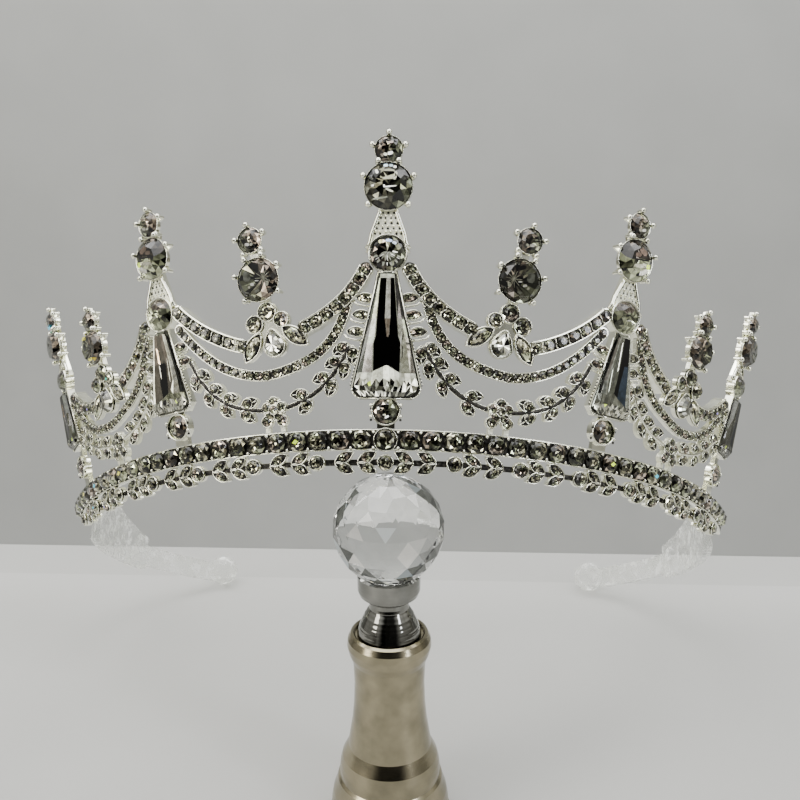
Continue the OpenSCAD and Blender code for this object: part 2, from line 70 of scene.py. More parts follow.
# a run bends from a by b to c, and first is the first of its cups that holds a stone of the row
Run = namedtuple("Run", "spike a b c cups first", defaults=(0, 0))
upperRows = [
    Run(0, (3.5, 30.9), (6.6, 24.3), (14.2, 20.75), 8),
    Run(0, (25.6, 18.5), (33.6, 21.6), (38.2, 27.4), 7),
    Run(1, (46.3, 26.5), (48.8, 21.2), (55, 17.6), 7),
    Run(1, (65.4, 15.8), (71.6, 15.2), (76.6, 20.8), 7, 1),
]
lowerRows = [
    Run(0, (6.6, 25.4), (8.6, 13.8), (21.5, 12.6)),
    Run(0, (21.5, 12.6), (31, 12.7), (38.3, 24)),
    Run(1, (46.6, 24.6), (49, 12.6), (62, 10.4)),
    Run(1, (62, 10.4), (73, 9.5), (76.9, 20.6)),
]
stemRows = [
    Run(0, (6.4, 17), (10.4, 8), (18, 6.4)),
    Run(0, (22, 6.2), (33, 6.5), (36.8, 17.4)),
    Run(1, (46.7, 16), (49.6, 7.8), (58.2, 6.4)),
    Run(1, (62.4, 6.2), (71, 6.2), (76.8, 12.6)),
]
# parts of the way along each stem where a pair of leaves sits
pairRows = [
    [0.06, 0.44, 0.79],
    [0.17, 0.4, 0.61, 0.82],
    [0.1, 0.32, 0.55, 0.79],
    [0.16, 0.42, 0.7, 0.94],
]
flowerRows = [[20.5, 6.2], [60.3, 6.1]]
# height and distance out of the small leaves beside each tapered stone
sideLeafRows = [
    [[25.8, 1.75], [22.7, 1.8], [19.6, 2.1]],
    [[20.8, 1.7], [18, 1.65]],
    [[20.4, 1.6], [17.8, 1.5]],
]
# across, up, width
trefoil = [(-2.4, 1.9, 2.6), (0, 4, 3.3), (2.95, 2.35, 3.1)]


def move(x=0.0, y=0.0, z=0.0):
    return Matrix.Translation((x, y, z))


def turned(angle, axis="Z"):
    return Matrix.Rotation(angle, 4, axis)


def stretched(x):
    return Matrix.Diagonal((x, 1, 1, 1))


def plateMatrix(s, side=1):
    # a flat place on the leaning wall: x along the band, y up the wall, z outward
    radius = circlet["radius"]
    lean = turned(math.pi / 2 + circlet["flare"], "X")
    place = move(y=radius) @ turned(s / radius) @ move(y=-radius) @ lean
    if side < 0:
        place = Matrix.Scale(-1, 4, (1, 0, 0)) @ place
    return move(*circlet["front"]) @ turned(-circlet["tilt"], "X") @ place


def plateX(s, h, s0):
    return (circlet["radius"] + h * math.sin(circlet["flare"])) * math.sin((s - s0) / circlet["radius"])


def bend(row, t):
    a, b, c = (np.array(p, float) for p in (row.a, row.b, row.c))
    return (1 - t) ** 2 * a + 2 * t * (1 - t) * b + t * t * c


def runSpot(row, t):
    # the plate's station, and x and height on that plate, part t of the way along a run
    s, h = bend(row, t)
    station = dropRows[row.spike].station
    s0 = station + max(-1, min(1, round((s - station) / circlet["plate"]))) * circlet["plate"]
    return s0, plateX(s, h, s0), h


def runHeading(row, t):
    s0 = runSpot(row, t)[0]
    p, q = bend(row, t - 0.01), bend(row, t + 0.01)
    return math.atan2(q[1] - p[1], plateX(q[0], q[1], s0) - plateX(p[0], p[1], s0))


def runLength(row):
    pts = np.array([bend(row, t) for t in np.linspace(0, 1, 30)])
    return float(np.linalg.norm(np.diff(pts, axis=0), axis=1).sum())


def runPlace(row, t, k):
    # a place that is turned along the run
    s0, x, h = runSpot(row, t)
    return plateMatrix(s0, k) @ spot(x, h, 0, runHeading(row, t))


def spot(x, h, out=0.0, turn=0.0):
    return move(x, h, out) @ turned(turn)


def dropSpot(r, x, h, out=0.0, turn=0.0):
    return move(r.pivotX, r.pivotH) @ turned(math.radians(-r.lean)) @ spot(x, h, out, turn)


def wireLine(spots):
    # the points of a wire, and the wall's outward direction at each of them
    points = [tuple(wall @ Vector((x, h, out))) for wall, x, h, out in spots]
    return points, [tuple(wall.to_3x3() @ Vector((0, 0, 1))) for wall, x, h, out in spots]


def runLine(row, k, off, out, n, start=0.0, end=1.0):
    # a line that keeps a distance off to the left of a run
    spots = []
    for t in np.linspace(start, end, n):
        s0, x, h = runSpot(row, t)
        a = runHeading(row, t)
        spots.append((plateMatrix(s0, k), x - off * math.sin(a), h + off * math.cos(a), out))
    return wireLine(spots)


# a heap gathers shapes and then becomes one mesh
def newHeap():
    return {"verts": [], "faces": [], "smooth": [], "spark": [], "paintedFacetTone": [], "count": 0}


def addShape(heap, shape, place=Matrix.Identity(4)):
    m = np.array(place)
    flip = np.linalg.det(m[:3, :3]) < 0
    base = heap["count"]
    n = len(shape["faces"])
    heap["verts"].append(shape["verts"] @ m[:3, :3].T + m[:3, 3])
    heap["count"] += len(shape["verts"])
    for f in shape["faces"]:
        g = [base + i for i in f]
        heap["faces"].append(g[::-1] if flip else g)
    heap["smooth"] += [shape.get("smooth", True)] * n
    heap["spark"].append(shape["spark"] @ m[:3, :3].T if "spark" in shape else np.tile(m[:3, 2], (n, 1)))
    heap["paintedFacetTone"].append(shape.get("paintedFacetTone", np.ones((n, 4))))


def put(heap, shape, wall, x, h, out=0.0, turn=0.0):
    addShape(heap, shape, wall @ spot(x, h, out, turn))


def makePiece(name, heap, material, replaces=()):
    mesh = bpy.data.meshes.new(name)
    verts = np.concatenate(heap["verts"]) * milli
    mesh.from_pydata(verts.tolist(), [], heap["faces"])
    mesh.polygons.foreach_set("use_smooth", heap["smooth"])
    if material == crystal:
        for key, kind, field in (("spark", "FLOAT_VECTOR", "vector"), ("paintedFacetTone", "FLOAT_COLOR", "color")):
            values = mesh.attributes.new(key, kind, "FACE")
            values.data.foreach_set(field, np.concatenate(heap[key]).astype(np.float32).ravel())
    mesh.materials.append(material)
    mesh.update()
    piece = bpy.data.objects.new(name, mesh)
    bpy.context.scene.collection.objects.link(piece)
    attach(piece, "root")
    if replaces:
        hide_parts(*replaces)


def tube(points, r, sides=8, closed=False, up=(0, 0, 1)):
    # a wire along points, up is one direction or one for each point
    p = np.array(points, float)
    n = len(p)
    d = np.roll(p, -1, 0) - np.roll(p, 1, 0) if closed else np.gradient(p, axis=0)
    d /= np.linalg.norm(d, axis=1)[:, None] + 1e-12
    side = np.cross(d, np.array(up, float))
    side /= np.linalg.norm(side, axis=1)[:, None] + 1e-12
    top = np.cross(side, d)
    a = np.linspace(0, math.tau, sides, endpoint=False)
    ring = side[:, None] * np.cos(a)[None, :, None] + top[:, None] * np.sin(a)[None, :, None]
    verts = (p[:, None] + r * ring).reshape(-1, 3)
    faces = []
    for i in range(n if closed else n - 1):
        j = (i + 1) % n
        for k in range(sides):
            l = (k + 1) % sides
            faces.append([i * sides + k, j * sides + k, j * sides + l, i * sides + l])
    if not closed:
        faces.append(list(range(sides)))
        faces.append([(n - 1) * sides + k for k in range(sides)][::-1])
    return {"verts": verts, "faces": faces}


def addWire(heap, line, r, sides=8):
    addShape(heap, tube(line[0], r, sides, up=line[1]))


def ribbon(lineA, lineB):
    n = len(lineA)
    faces = [[i, i + 1, n + i + 1, n + i] for i in range(n - 1)]
    return {"verts": np.array(list(lineA) + list(lineB), float), "faces": faces}


def circle(r, level, sides):
    a = np.linspace(0, math.tau, sides, endpoint=False)
    return np.stack([r * np.cos(a), r * np.sin(a), np.full(sides, level)], 1)


def lathe(profile, sides=32):
    # a profile of (radius, level), turned about the local z
    verts = np.concatenate([circle(r, z, sides) for r, z in profile])
    faces = []
    for i in range(len(profile) - 1):
        for k in range(sides):
            l = (k + 1) % sides
            faces.append([i * sides + k, i * sides + l, (i + 1) * sides + l, (i + 1) * sides + k])
    return {"verts": verts, "faces": faces}


def rimRing(r, wire, level=0.0, sides=28):
    return tube(circle(r, level, sides), wire, 8, closed=True)


def ball(r, rows=6, sides=10):
    turns = np.linspace(-math.pi / 2, math.pi / 2, rows + 1)
    return lathe([(max(1e-4, r * math.cos(a)), r * math.sin(a)) for a in turns], sides)


def flatPad(points, level=0.0):
    return {"verts": np.array([(x, y, level) for x, y in points], float), "faces": [list(range(len(points)))]}


def disc(r, level=0.0, sides=20):
    return {"verts": circle(r, level, sides), "faces": [list(range(sides))]}


def slabOf(points, low, high):
    # an outline drawn out to a solid plate
    n = len(points)
    verts = [(x, y, low) for x, y in points] + [(x, y, high) for x, y in points]
    faces = [[i, (i + 1) % n, n + (i + 1) % n, n + i] for i in range(n)]
    return {"verts": np.array(verts, float), "faces": faces + [list(range(n))[::-1], list(range(n, 2 * n))],
            "smooth": False}


def lensOutline(length, width, n=11, inset=0.0):
    # a leaf or marquise outline made of two arcs, turning to the left
    length, width = length - inset, width - inset
    r = (length * length + width * width) / (4 * width)
    half = math.asin(length / 2 / r)
    turns = np.linspace(-half, half, n)
    top = [(r * math.sin(a), r * math.cos(a) - (r - width / 2)) for a in turns][::-1]
    return top + [(-x, -y) for x, y in top][1:-1]


def outlineTube(points, wire, level, sides=8):
    return tube([(x, y, level) for x, y in points], wire, sides, closed=True)


def linear(hexColour):
    vals = [int(hexColour[i:i + 2], 16) / 255 for i in (1, 3, 5)]
    return (*[v / 12.92 if v <= 0.04045 else ((v + 0.055) / 1.055) ** 2.4 for v in vals], 1)


def addNode(tree, kind, settings=None, links=None):
    node = tree.nodes.new("ShaderNode" + kind)
    for key, value in (settings or {}).items():
        if isinstance(key, str) and hasattr(node, key):
            setattr(node, key, value)
        else:
            node.inputs[key].default_value = value
    for key, source in (links or {}).items():
        tree.links.new(source, node.inputs[key])
    return node


def newMaterial(name):
    m = bpy.data.materials.new(name)
    m.use_nodes = True
    m.node_tree.nodes.clear()
    return m, m.node_tree, addNode(m.node_tree, "TexCoord").outputs["Object"]


def finishMaterial(m, shader):
    addNode(m.node_tree, "OutputMaterial", links={"Surface": shader.outputs[0]})
    return m


def ramp(tree, source, stops):
    # the colour of a stop is sRGB hex, a grey level or four linear values
    node = addNode(tree, "ValToRGB", links={"Fac": source})
    elements = node.color_ramp.elements
    while len(elements) > 1:
        elements.remove(elements[-1])
    for i, (pos, colour) in enumerate(stops):
        e = elements[0] if i == 0 else elements.new(pos)
        e.position = pos
        if isinstance(colour, str):
            colour = linear(colour)
        e.color = colour if isinstance(colour, tuple) else (colour, colour, colour, 1)
    return node.outputs["Color"]


def cloud(tree, vector, scale, detail=3.0):
    return addNode(tree, "TexNoise", {"Scale": scale, "Detail": detail}, {"Vector": vector}).outputs["Fac"]


def noise(tree, coords, millimetres, detail=3.0):
    return cloud(tree, coords, 1000 / millimetres, detail)


def mottled(tree, source, shade, light):
    return ramp(tree, source, [(0.3, shade), (0.7, light)])


def bumped(tree, height, strength, millimetres, normal=None, invert=False):
    links = {"Height": height} if normal is None else {"Height": height, "Normal": normal}
    settings = {"Strength": strength, "Distance": millimetres * milli, "invert": invert}
    return addNode(tree, "Bump", settings, links).outputs["Normal"]


def ranged(tree, value, low, high):
    return addNode(tree, "MapRange", {"To Min": low, "To Max": high}, {"Value": value}).outputs["Result"]


def multiply(tree, first, *others):
    for other in others:
        settings = {"data_type": "RGBA", "blend_type": "MULTIPLY", "Factor": 1.0}
        node = addNode(tree, "Mix", settings, {6: first, 7: other})
        first = node.outputs[2]
    return first


# bright rhodium plating over polished castings: nearly white, small waves break up what it mirrors
def rhodiumPlate(name, look):
    m, tree, coords = newMaterial(name)
    normal = bumped(tree, noise(tree, coords, look["wave"], 2), 0.4, look["waveDepth"])
    if look["grain"]:
        # cast grain of about half a millimetre, as the necks and the backs of the leaves show it
        cells = addNode(tree, "TexVoronoi", {"Scale": 1000 / look["grain"]}, {"Vector": coords})
        normal = bumped(tree, cells.outputs["Distance"], 0.7, 0.1, normal, True)
    return finishMaterial(m, addNode(tree, "BsdfPrincipled", {"Metallic": 1.0}, {
        "Base Color": mottled(tree, noise(tree, coords, 2.6), look["shade"], look["light"]),
        "Roughness": ranged(tree, noise(tree, coords, look["scratch"]), *look["roughness"]),
        "Normal": normal}))


# foiled lead crystal: each face carries the slope and a painted tone that stands for the light and shade of
# the foiled facet seen through it, and the clear coat gives the gloss of the real crown
def foiledCrystal():
    m, tree, coords = newMaterial("foiledCrystal")
    slope = addNode(tree, "Attribute", {"attribute_name": "spark"})
    paintedFacetTone = addNode(tree, "Attribute", {"attribute_name": "paintedFacetTone"})
    tone = ramp(tree, noise(tree, coords, 0.9, 2), [(0.35, "#C4C2B8"), (0.65, "#FFFFFA")])
    # alpha 0 marks a facet that glows in one colour: a painted flash of split light
    glow = addNode(tree, "Math", {"operation": "SUBTRACT", 0: 1.0}, {1: paintedFacetTone.outputs["Alpha"]})
    gloss = {"Metallic": 1.0, "Roughness": 0.08, "Coat Weight": 0.8, "Coat Roughness": 0.02, "Coat IOR": 1.5}
    return finishMaterial(m, addNode(tree, "BsdfPrincipled", gloss, {
        "Base Color": multiply(tree, paintedFacetTone.outputs["Color"], tone), "Normal": slope.outputs["Vector"],
        "Emission Color": paintedFacetTone.outputs["Color"], "Emission Strength": glow.outputs["Value"]}))


# painted shade in the recesses between the stones: dull, nearly black sheets that stand for the shade there,
# with a little bare metal
def recessShade():
    m, tree, coords = newMaterial("recessShade")
    shadeMottle = noise(tree, coords, 0.5)
    return finishMaterial(m, addNode(tree, "BsdfPrincipled", {"Metallic": 0.7, "Roughness": 0.45}, {
        "Base Color": ramp(tree, shadeMottle, [(0.4, "#12110F"), (0.62, "#3B3935"), (0.8, "#8C8980")]),
        "Normal": bumped(tree, shadeMottle, 0.5, 0.05)}))


# clear acrylic seen against a pale room: all but invisible, a whitish haze gathers where it turns away
def clearAcrylic():
    m, tree, coords = newMaterial("clearAcrylic")
    flow = noise(tree, coords, 7.0)
    normal = bumped(tree, flow, 0.5, 0.4)
    through = addNode(tree, "BsdfTransparent", links={"Color": mottled(tree, flow, "#F4F5F2", "#FFFFFF")})
    skin = {"Base Color": linear("#FCFDFA"), "Roughness": 0.12}
    gloss = addNode(tree, "BsdfPrincipled", skin, {"Normal": normal})
    edge = addNode(tree, "LayerWeight", {"Blend": 0.3}, {"Normal": normal}).outputs["Facing"]
    # crinkles of the moulding catch the light in streaks
    crinkle = ramp(tree, noise(tree, coords, 2.4, 4), [(0.42, 0.5), (0.56, 1.0), (0.64, 2.4)])
    haze = addNode(tree, "Math", {"operation": "MULTIPLY", "use_clamp": True},
                   {0: ranged(tree, edge, 0.1, 0.75), 1: crinkle})
    return finishMaterial(m, addNode(tree, "MixShader", links={
        "Fac": haze.outputs["Value"], 1: through.outputs[0], 2: gloss.outputs[0]}))


# clear cut crystal without foil, on the stand: it bends the room, its facets tell by their edges
def clearCrystal():
    m, tree, coords = newMaterial("clearCrystal")
    tint = mottled(tree, noise(tree, coords, 4.0), "#F1F3F0", "#FFFFFF")
    # painted shade: some of the facets seen on edge are tinted dark, as triangles along the outline, for the
    # dark room they mirror
    cut = addNode(tree, "NewGeometry").outputs["True Normal"]
    lot = cloud(tree, cut, 5.0, 0.0)
    edgeOn = addNode(tree, "LayerWeight", {"Blend": 0.5}).outputs["Facing"]
    both = addNode(tree, "Math", {"operation": "MULTIPLY"}, {
        0: ramp(tree, lot, [(0.51, 0), (0.53, 1)]), 1: ramp(tree, edgeOn, [(0.34, 0), (0.46, 1)])})
    body = addNode(tree, "Mix", {"data_type": "RGBA", 7: linear("#20221E")},
                   {"Factor": both.outputs["Value"], 6: tint})
    # painted highlights: a few facets anywhere glow pale, warm or cool, as if they caught a lamp
    glint = ramp(tree, cloud(tree, cut, 23.0, 0.0), [(0.66, 0), (0.67, 0.2)])
    warmth = ramp(tree, lot, [(0.4, (1.0, 0.9, 0.78, 1)), (0.6, (0.78, 0.93, 1.0, 1))])
    return finishMaterial(m, addNode(
        tree, "BsdfPrincipled", {"Transmission Weight": 1.0, "Roughness": 0.0, "IOR": 1.5},
        {"Base Color": body.outputs[2], "Emission Color": warmth, "Emission Strength": glint}))


# turned and plated metal of the stand: fine rings from the lathe, softened by polishing
def turnedPlate(name, look):
    m, tree, coords = newMaterial(name)
    parts = addNode(tree, "SeparateXYZ", links={"Vector": coords})
    level = addNode(tree, "CombineXYZ", links={"Z": parts.outputs["Z"]}).outputs["Vector"]
    mottle = noise(tree, coords, 5.0)
    return finishMaterial(m, addNode(tree, "BsdfPrincipled", {"Metallic": 1.0}, {
        "Base Color": mottled(tree, mottle, look["shade"], look["light"]),
        "Roughness": ranged(tree, mottle, *look["roughness"]),
        "Normal": bumped(tree, noise(tree, level, look["ringPitch"], 1), 0.3, look["ringDepth"])}))


silverLook = {"light": "#FFFFEE", "shade": "#E0E0CE", "roughness": (0.07, 0.18), "wave": 0.9,
              "waveDepth": 0.02, "scratch": 0.25, "grain": 0}
chromeLook = {"light": "#908F8A", "shade": "#6C6C68", "roughness": (0.05, 0.12), "ringPitch": 0.8,
              "ringDepth": 0.35}
nickelLook = {"light": "#A0977F", "shade": "#7E7865", "roughness": (0.14, 0.26), "ringPitch": 0.5,
              "ringDepth": 0.02}
silver = rhodiumPlate("rhodiumPlate", silverLook)
castSilver = rhodiumPlate("castRhodium", dict(silverLook, roughness=(0.5, 0.62), grain=0.55))
crystal = foiledCrystal()
recess = recessShade()
acrylic = clearAcrylic()
ballCrystal = clearCrystal()
chrome = turnedPlate("polishedChrome", chromeLook)
nickel = turnedPlate("warmNickel", nickelLook)
print("materials made")

nodeLooks = {"clear_arm_left": acrylic, "clear_arm_right": acrylic, "stand_ball": ballCrystal,
             "stand_cup": chrome, "stand_column": nickel}
for name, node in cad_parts.items():
    node.data.materials.clear()
    node.data.materials.append(nodeLooks.get(name, castSilver if name.startswith("garland") else silver))

# tones of the foil: olive greys, a mauve brown side, and the colours of a painted flash, with levels of
# painted shade and painted highlight for the facets
foil = {
    "olive": (1.0, 0.97, 0.72),
    "mauve": (1.0, 0.83, 0.70),
    "green": (0.93, 1.0, 0.70),
    "dark": (0.006, 0.012, 0.022, 0.04, 0.07),
    "mid": (0.1, 0.15, 0.21, 0.28),
    "bright": (0.7, 0.9, 1.0),
    "flash": {"cyan": (0.1, 0.75, 1.0), "yellow": (1.0, 0.93, 0.12), "violet": (0.45, 0.33, 1.0),
              "teal": (0.08, 0.85, 0.6), "lime": (0.75, 1.0, 0.08)},
    # painted shade: a split stone is dark above and light below, and facets low on a stone are darker
    "wave": (0.12, 5),              # the two halves of a split stone meet in a wave this high, this often
    "shadow": (-0.45, 0.6, 0.05),   # below this height this share of the facets is no brighter than this
    "mauveTo": -0.15,
    "greenFrom": 0.2,
}


def newStone():
    return {"verts": [], "faces": [], "smooth": False, "spark": [], "paintedFacetTone": []}


def addFacet(stone, points, slope, tint):
    # where the tint is a name the facet flashes in that colour
    base = len(stone["verts"])
    stone["verts"].extend(points)
    stone["faces"].append(list(range(base, base + len(points))))
    n = np.array((slope[0], slope[1], 1.0))
    stone["spark"].append(n / np.linalg.norm(n))
    stone["paintedFacetTone"].append((*foil["flash"][tint], 0.0) if isinstance(tint, str) else (*tint, 1.0))


def endStone(stone):
    for key in ("verts", "spark", "paintedFacetTone"):
        stone[key] = np.array(stone[key], float)
    return stone


def dimmed(tone, share):
    return tuple(share * c for c in tone)


def paintedFoilTone(g, look, x, y):
    # the painted tone at a place on the stone, x and y as parts of its radius: the foil's tint times a level
    # of painted light or shade, a split stone painted dark above and light below
    if look["split"]:
        height, waves = foil["wave"]
        upper = y > look["split"]["at"] + height * math.sin(waves * x)
        shade = g.choice(look["split"]["upper" if upper else "lower"])
        return dimmed(foil["mauve" if upper else "green"], shade)
    pick = g.random()
    kind = "bright" if pick < look["bright"] else "mid" if pick < look["bright"] + look["mid"] else "dark"
    shade = g.choice(foil[kind])
    below, share, most = foil["shadow"]
    if y < below and g.random() < share:
        shade = min(shade, most)
    side = "mauve" if x < foil["mauveTo"] and look["warm"] else "green" if x > foil["greenFrom"] else "olive"
    return dimmed(foil[side], shade)


lift = 0.02         # a pane lies this far above the facet that it marks
# the round cut: level of each ring, the girdle's radius, and how far each kind of facet leans
roundCut = {"crown": 0.62, "girdle": 0.498, "girdleTop": 0.3, "girdleFoot": 0.24, "foot": 0.36,
            "leans": (0.5, 0.6, 0.4, 0.4), "pavilionLean": 0.3, "heartLean": 0.22, "scatter": 0.14,
            "paneLean": 0.36, "tilts": (-1, -0.6, 0.8, 1),
            "pane": ((-1, -0.6), (-0.5, -1), (0.6, -1), (1, -0.4), (0.9, 0.7), (0.2, 1), (-0.8, 0.8))}


def roundStone(d, seed, look):
    # girdle, crown and table, with the pavilion's wedges drawn out from the culet as the table shows them,
    # all in painted light and shade
    g = random.Random(seed)
    c = roundCut
    n = look["sectors"]
    table = 0.5 * look["table"]
    height = d * look["height"]
    spin = g.random() * math.tau / n
    rings = []
    for radius, level, shift in ((table, 1.0, 0), (0.25 + 0.25 * look["table"], c["crown"], 0.5),
                                 (c["girdle"], c["girdleTop"], 0), (c["girdle"], c["girdleFoot"], 0),
                                 (c["foot"], 0.0, 0)):
        ring = []
        for i in range(n):
            a = spin + (i + shift) * math.tau / n
            cut = math.cos(math.pi / 8) if level == 1.0 and n > 8 and i % 2 else 1.0
            ring.append((radius * cut * d * math.cos(a), radius * cut * d * math.sin(a), level * height))
        rings.append(ring)
    culet = (look["culet"][0] * d, look["culet"][1] * d, height)
    stone = newStone()

    def tilted(points, lean):
        middle = np.mean(np.array(points), axis=0)[:2]
        away = middle / (np.linalg.norm(middle) + 1e-6)
        tilt = lean * g.choice(c["tilts"])
        return [a * tilt + g.uniform(-c["scatter"], c["scatter"]) for a in away]

    def toneAt(points):
        x, y = (np.mean(np.array(points), axis=0) / (d / 2))[:2]
        return paintedFoilTone(g, look, x, y)

    def add(points, lean):
        addFacet(stone, points, tilted(points, lean), toneAt(points))

    for a, b in zip(rings[0], rings[0][1:] + rings[0][:1]):
        innerA, innerB = (tuple(q + look["knee"] * (p - q) for p, q in zip(point, culet)) for point in (a, b))
        wedge = [culet, innerA, innerB]
        # the wedges round the culet are painted darker by the look's heart share
        heart = dimmed(toneAt(wedge), look["heart"])
        addFacet(stone, wedge, tilted(wedge, c["heartLean"]), heart)
        add([innerA, a, b], c["pavilionLean"])
        add([innerA, b, innerB], c["pavilionLean"])
    for j, lean in enumerate(c["leans"]):
        for i in range(n):
            k = (i + 1) % n
            a, b, low, high = rings[j][i], rings[j][k], rings[j + 1][i], rings[j + 1][k]
            for facet in ([[a, low, b], [b, low, high]], [[a, low, high], [a, high, b]],
                          [[a, low, high, b]], [[a, low, high, b]])[j]:
                add(facet, lean)
    add(rings[-1][::-1], 0.0)
    for x, y, w, h, turn, tint in look["panes"]:
        # a pane of painted reflection: something pale mirrored, a thin ray, or a painted flash
        pts = []
        for u, v in c["pane"]:
            px = x + u * w * math.cos(turn) - v * h * math.sin(turn)
            py = y + u * w * math.sin(turn) + v * h * math.cos(turn)
            drop = max(0.0, math.hypot(px, py) / table - 1) * height * 0.5 * look["table"]
            pts.append((px * d, py * d, height - drop + lift))
        tone = tint if isinstance(tint, str) else dimmed(tint, look["pane"])
        addFacet(stone, pts, (0.0, c["paneLean"]), tone)
    return endStone(stone)


def rays(culet, turns, length, tint, wide):
    # thin pale lines of painted reflection that run out from the culet
    half = length / 2
    return [(culet[0] + math.cos(a) * half, culet[1] + math.sin(a) * half, half, wide, a, tint)
            for a in (math.radians(deg) for deg in turns)]


# a pane is a painted reflection: x, y, half width, half height, turn and tint, with lengths as parts of the
# stone's diameter
baseLook = {"sectors": 16, "height": 0.29, "table": 0.56, "culet": (0, 0), "knee": 0.5, "bright": 0.05,
            "mid": 0.3, "warm": True, "heart": 0.6, "pane": 0.62, "split": None, "panes": []}
black = (0.004, 0.004, 0.004)
pale, beige, white, grey = (0.5, 0.5, 0.42), (0.36, 0.36, 0.27), (1, 1, 0.98), (0.2, 0.21, 0.18)
frontBigLook = dict(baseLook, culet=(0.02, -0.02), bright=0.0, mid=0.2, warm=False, panes=[
    (-0.01, 0.2, 0.16, 0.11, 0.05, beige), (0.15, 0.17, 0.035, 0.09, -0.25, pale),
    (-0.05, 0.39, 0.05, 0.03, 0.0, (0.7, 0.88, 1.0)), (0.06, 0.39, 0.04, 0.03, 0.0, (0.5, 0.66, 0.8)),
    (0.14, 0.36, 0.035, 0.03, -0.2, white), (-0.24, 0.26, 0.03, 0.05, 0.4, white),
    (-0.17, -0.3, 0.17, 0.018, 0.12, grey), (-0.32, -0.04, 0.03, 0.02, 0, white),
    (0.05, -0.06, 0.13, 0.014, 0.1, white), (0.03, -0.14, 0.09, 0.02, -0.4, pale),
    (-0.08, -0.05, 0.02, 0.03, 0.2, white), (0.3, -0.1, 0.03, 0.02, 0.4, pale)])
sideBigLook = dict(
    baseLook, culet=(-0.05, 0.02), heart=1.0,
    split={"at": -0.03, "upper": (0.012, 0.03, 0.05, 0.08), "lower": (0.25, 0.45, 0.7, 0.9)},
    panes=[(0.04, 0.2, 0.12, 0.07, -0.5, (0.34, 0.24, 0.2)), (-0.1, 0.1, 0.09, 0.05, 0.2, (0.24, 0.17, 0.14)),
           (0.0, 0.0, 0.26, 0.02, 0.1, black), (0.04, -0.14, 0.24, 0.045, 0.2, (1.0, 1.0, 0.86)),
           (0.14, -0.27, 0.14, 0.06, 0.5, (1.4, 1.4, 1.35)),
           (-0.12, -0.24, 0.08, 0.04, -0.5, (0.5, 0.53, 0.4)), (0.24, -0.12, 0.05, 0.06, 0.2, "lime")])
sideRoundLook = dict(
    baseLook, table=0.62, heart=1.0,
    split={"at": 0.3, "upper": (0.08, 0.14, 0.2, 0.26), "lower": (0.2, 0.34, 0.46, 0.6)},
    panes=[(-0.06, 0.05, 0.09, 0.025, 0.3, black), (0.1, 0.02, 0.07, 0.02, -0.4, black),
           (0.02, -0.1, 0.1, 0.02, 0.2, white), (0.16, -0.16, 0.05, 0.02, 0.8, white)])
dropCulet = (-0.21, -0.05)
dropRays = (12, 48, 80, 101, 124, 152, 184, 216, 244, 262, 288, 325)
dropBigLook = dict(
    baseLook, heart=0.3, table=0.76, culet=dropCulet, knee=0.4, mid=0.46, bright=0.03,
    panes=rays(dropCulet, dropRays, 0.2, pale, 0.006) + [
        (0.17, 0.1, 0.09, 0.12, 0.1, (0.17, 0.18, 0.16)), (0.12, 0.12, 0.04, 0.07, 0.1, grey),
        (0.08, -0.12, 0.05, 0.03, 0.35, white), (0.17, -0.16, 0.03, 0.03, 0.1, pale),
        (-0.08, 0.26, 0.09, 0.05, 0.6, black), (-0.28, -0.2, 0.04, 0.06, 0.5, pale),
        (0.0, -0.3, 0.06, 0.03, 0.0, grey), (-0.05, -0.07, 0.05, 0.012, 0.3, white)])
roundLook = dict(
    baseLook, culet=(0, 0.02), table=0.62, bright=0.08, mid=0.42,
    panes=rays((0, 0.0), (200, 226, 252, 288, 314, 338), 0.42, grey, 0.034)
    + rays((0, 0.0), (270, 212, 330), 0.4, white, 0.01) + [
        (-0.2, 0.3, 0.05, 0.05, 0.3, (1, 0.95, 0.5)), (0.04, 0.33, 0.1, 0.04, -0.1, (0.5, 0.62, 1.0)),
        (0.2, 0.26, 0.06, 0.04, -0.5, (0.7, 0.82, 1.0)), (0.22, 0.0, 0.08, 0.02, -0.2, white)])
endBigLook = dict(dropBigLook, bright=0.24, mid=0.56, heart=0.8)
endDropLook = dict(endBigLook, panes=endBigLook["panes"] + [
    (0.14, 0.36, 0.14, 0.06, 0.2, "yellow"), (0.0, -0.36, 0.1, 0.05, 0.1, "yellow")])
topLook = dict(baseLook, sectors=12, bright=0.1, mid=0.4, panes=[
    (0.06, -0.2, 0.1, 0.06, 0.3, white), (-0.12, -0.24, 0.07, 0.05, -0.4, (0.8, 0.8, 0.7)),
    (0.05, 0.2, 0.12, 0.04, 0.1, (0.5, 0.42, 0.38))])
paleTopLook = dict(topLook, bright=0.32, mid=0.44)
cyanTopLook = dict(paleTopLook, panes=topLook["panes"] + [(0.12, -0.28, 0.3, 0.12, 0.2, "cyan")])
baseStoneLook = dict(baseLook, sectors=12, bright=0.12, panes=[
    (-0.3, 0.1, 0.05, 0.06, 0.2, white), (0.05, -0.24, 0.09, 0.04, 0.5, white),
    (-0.06, -0.16, 0.05, 0.03, -0.3, pale)])
paleBaseLook = dict(baseStoneLook, bright=0.36, mid=0.4)
marquiseLook = dict(baseLook, sectors=10, height=0.34, bright=0.62, mid=0.26, warm=False)

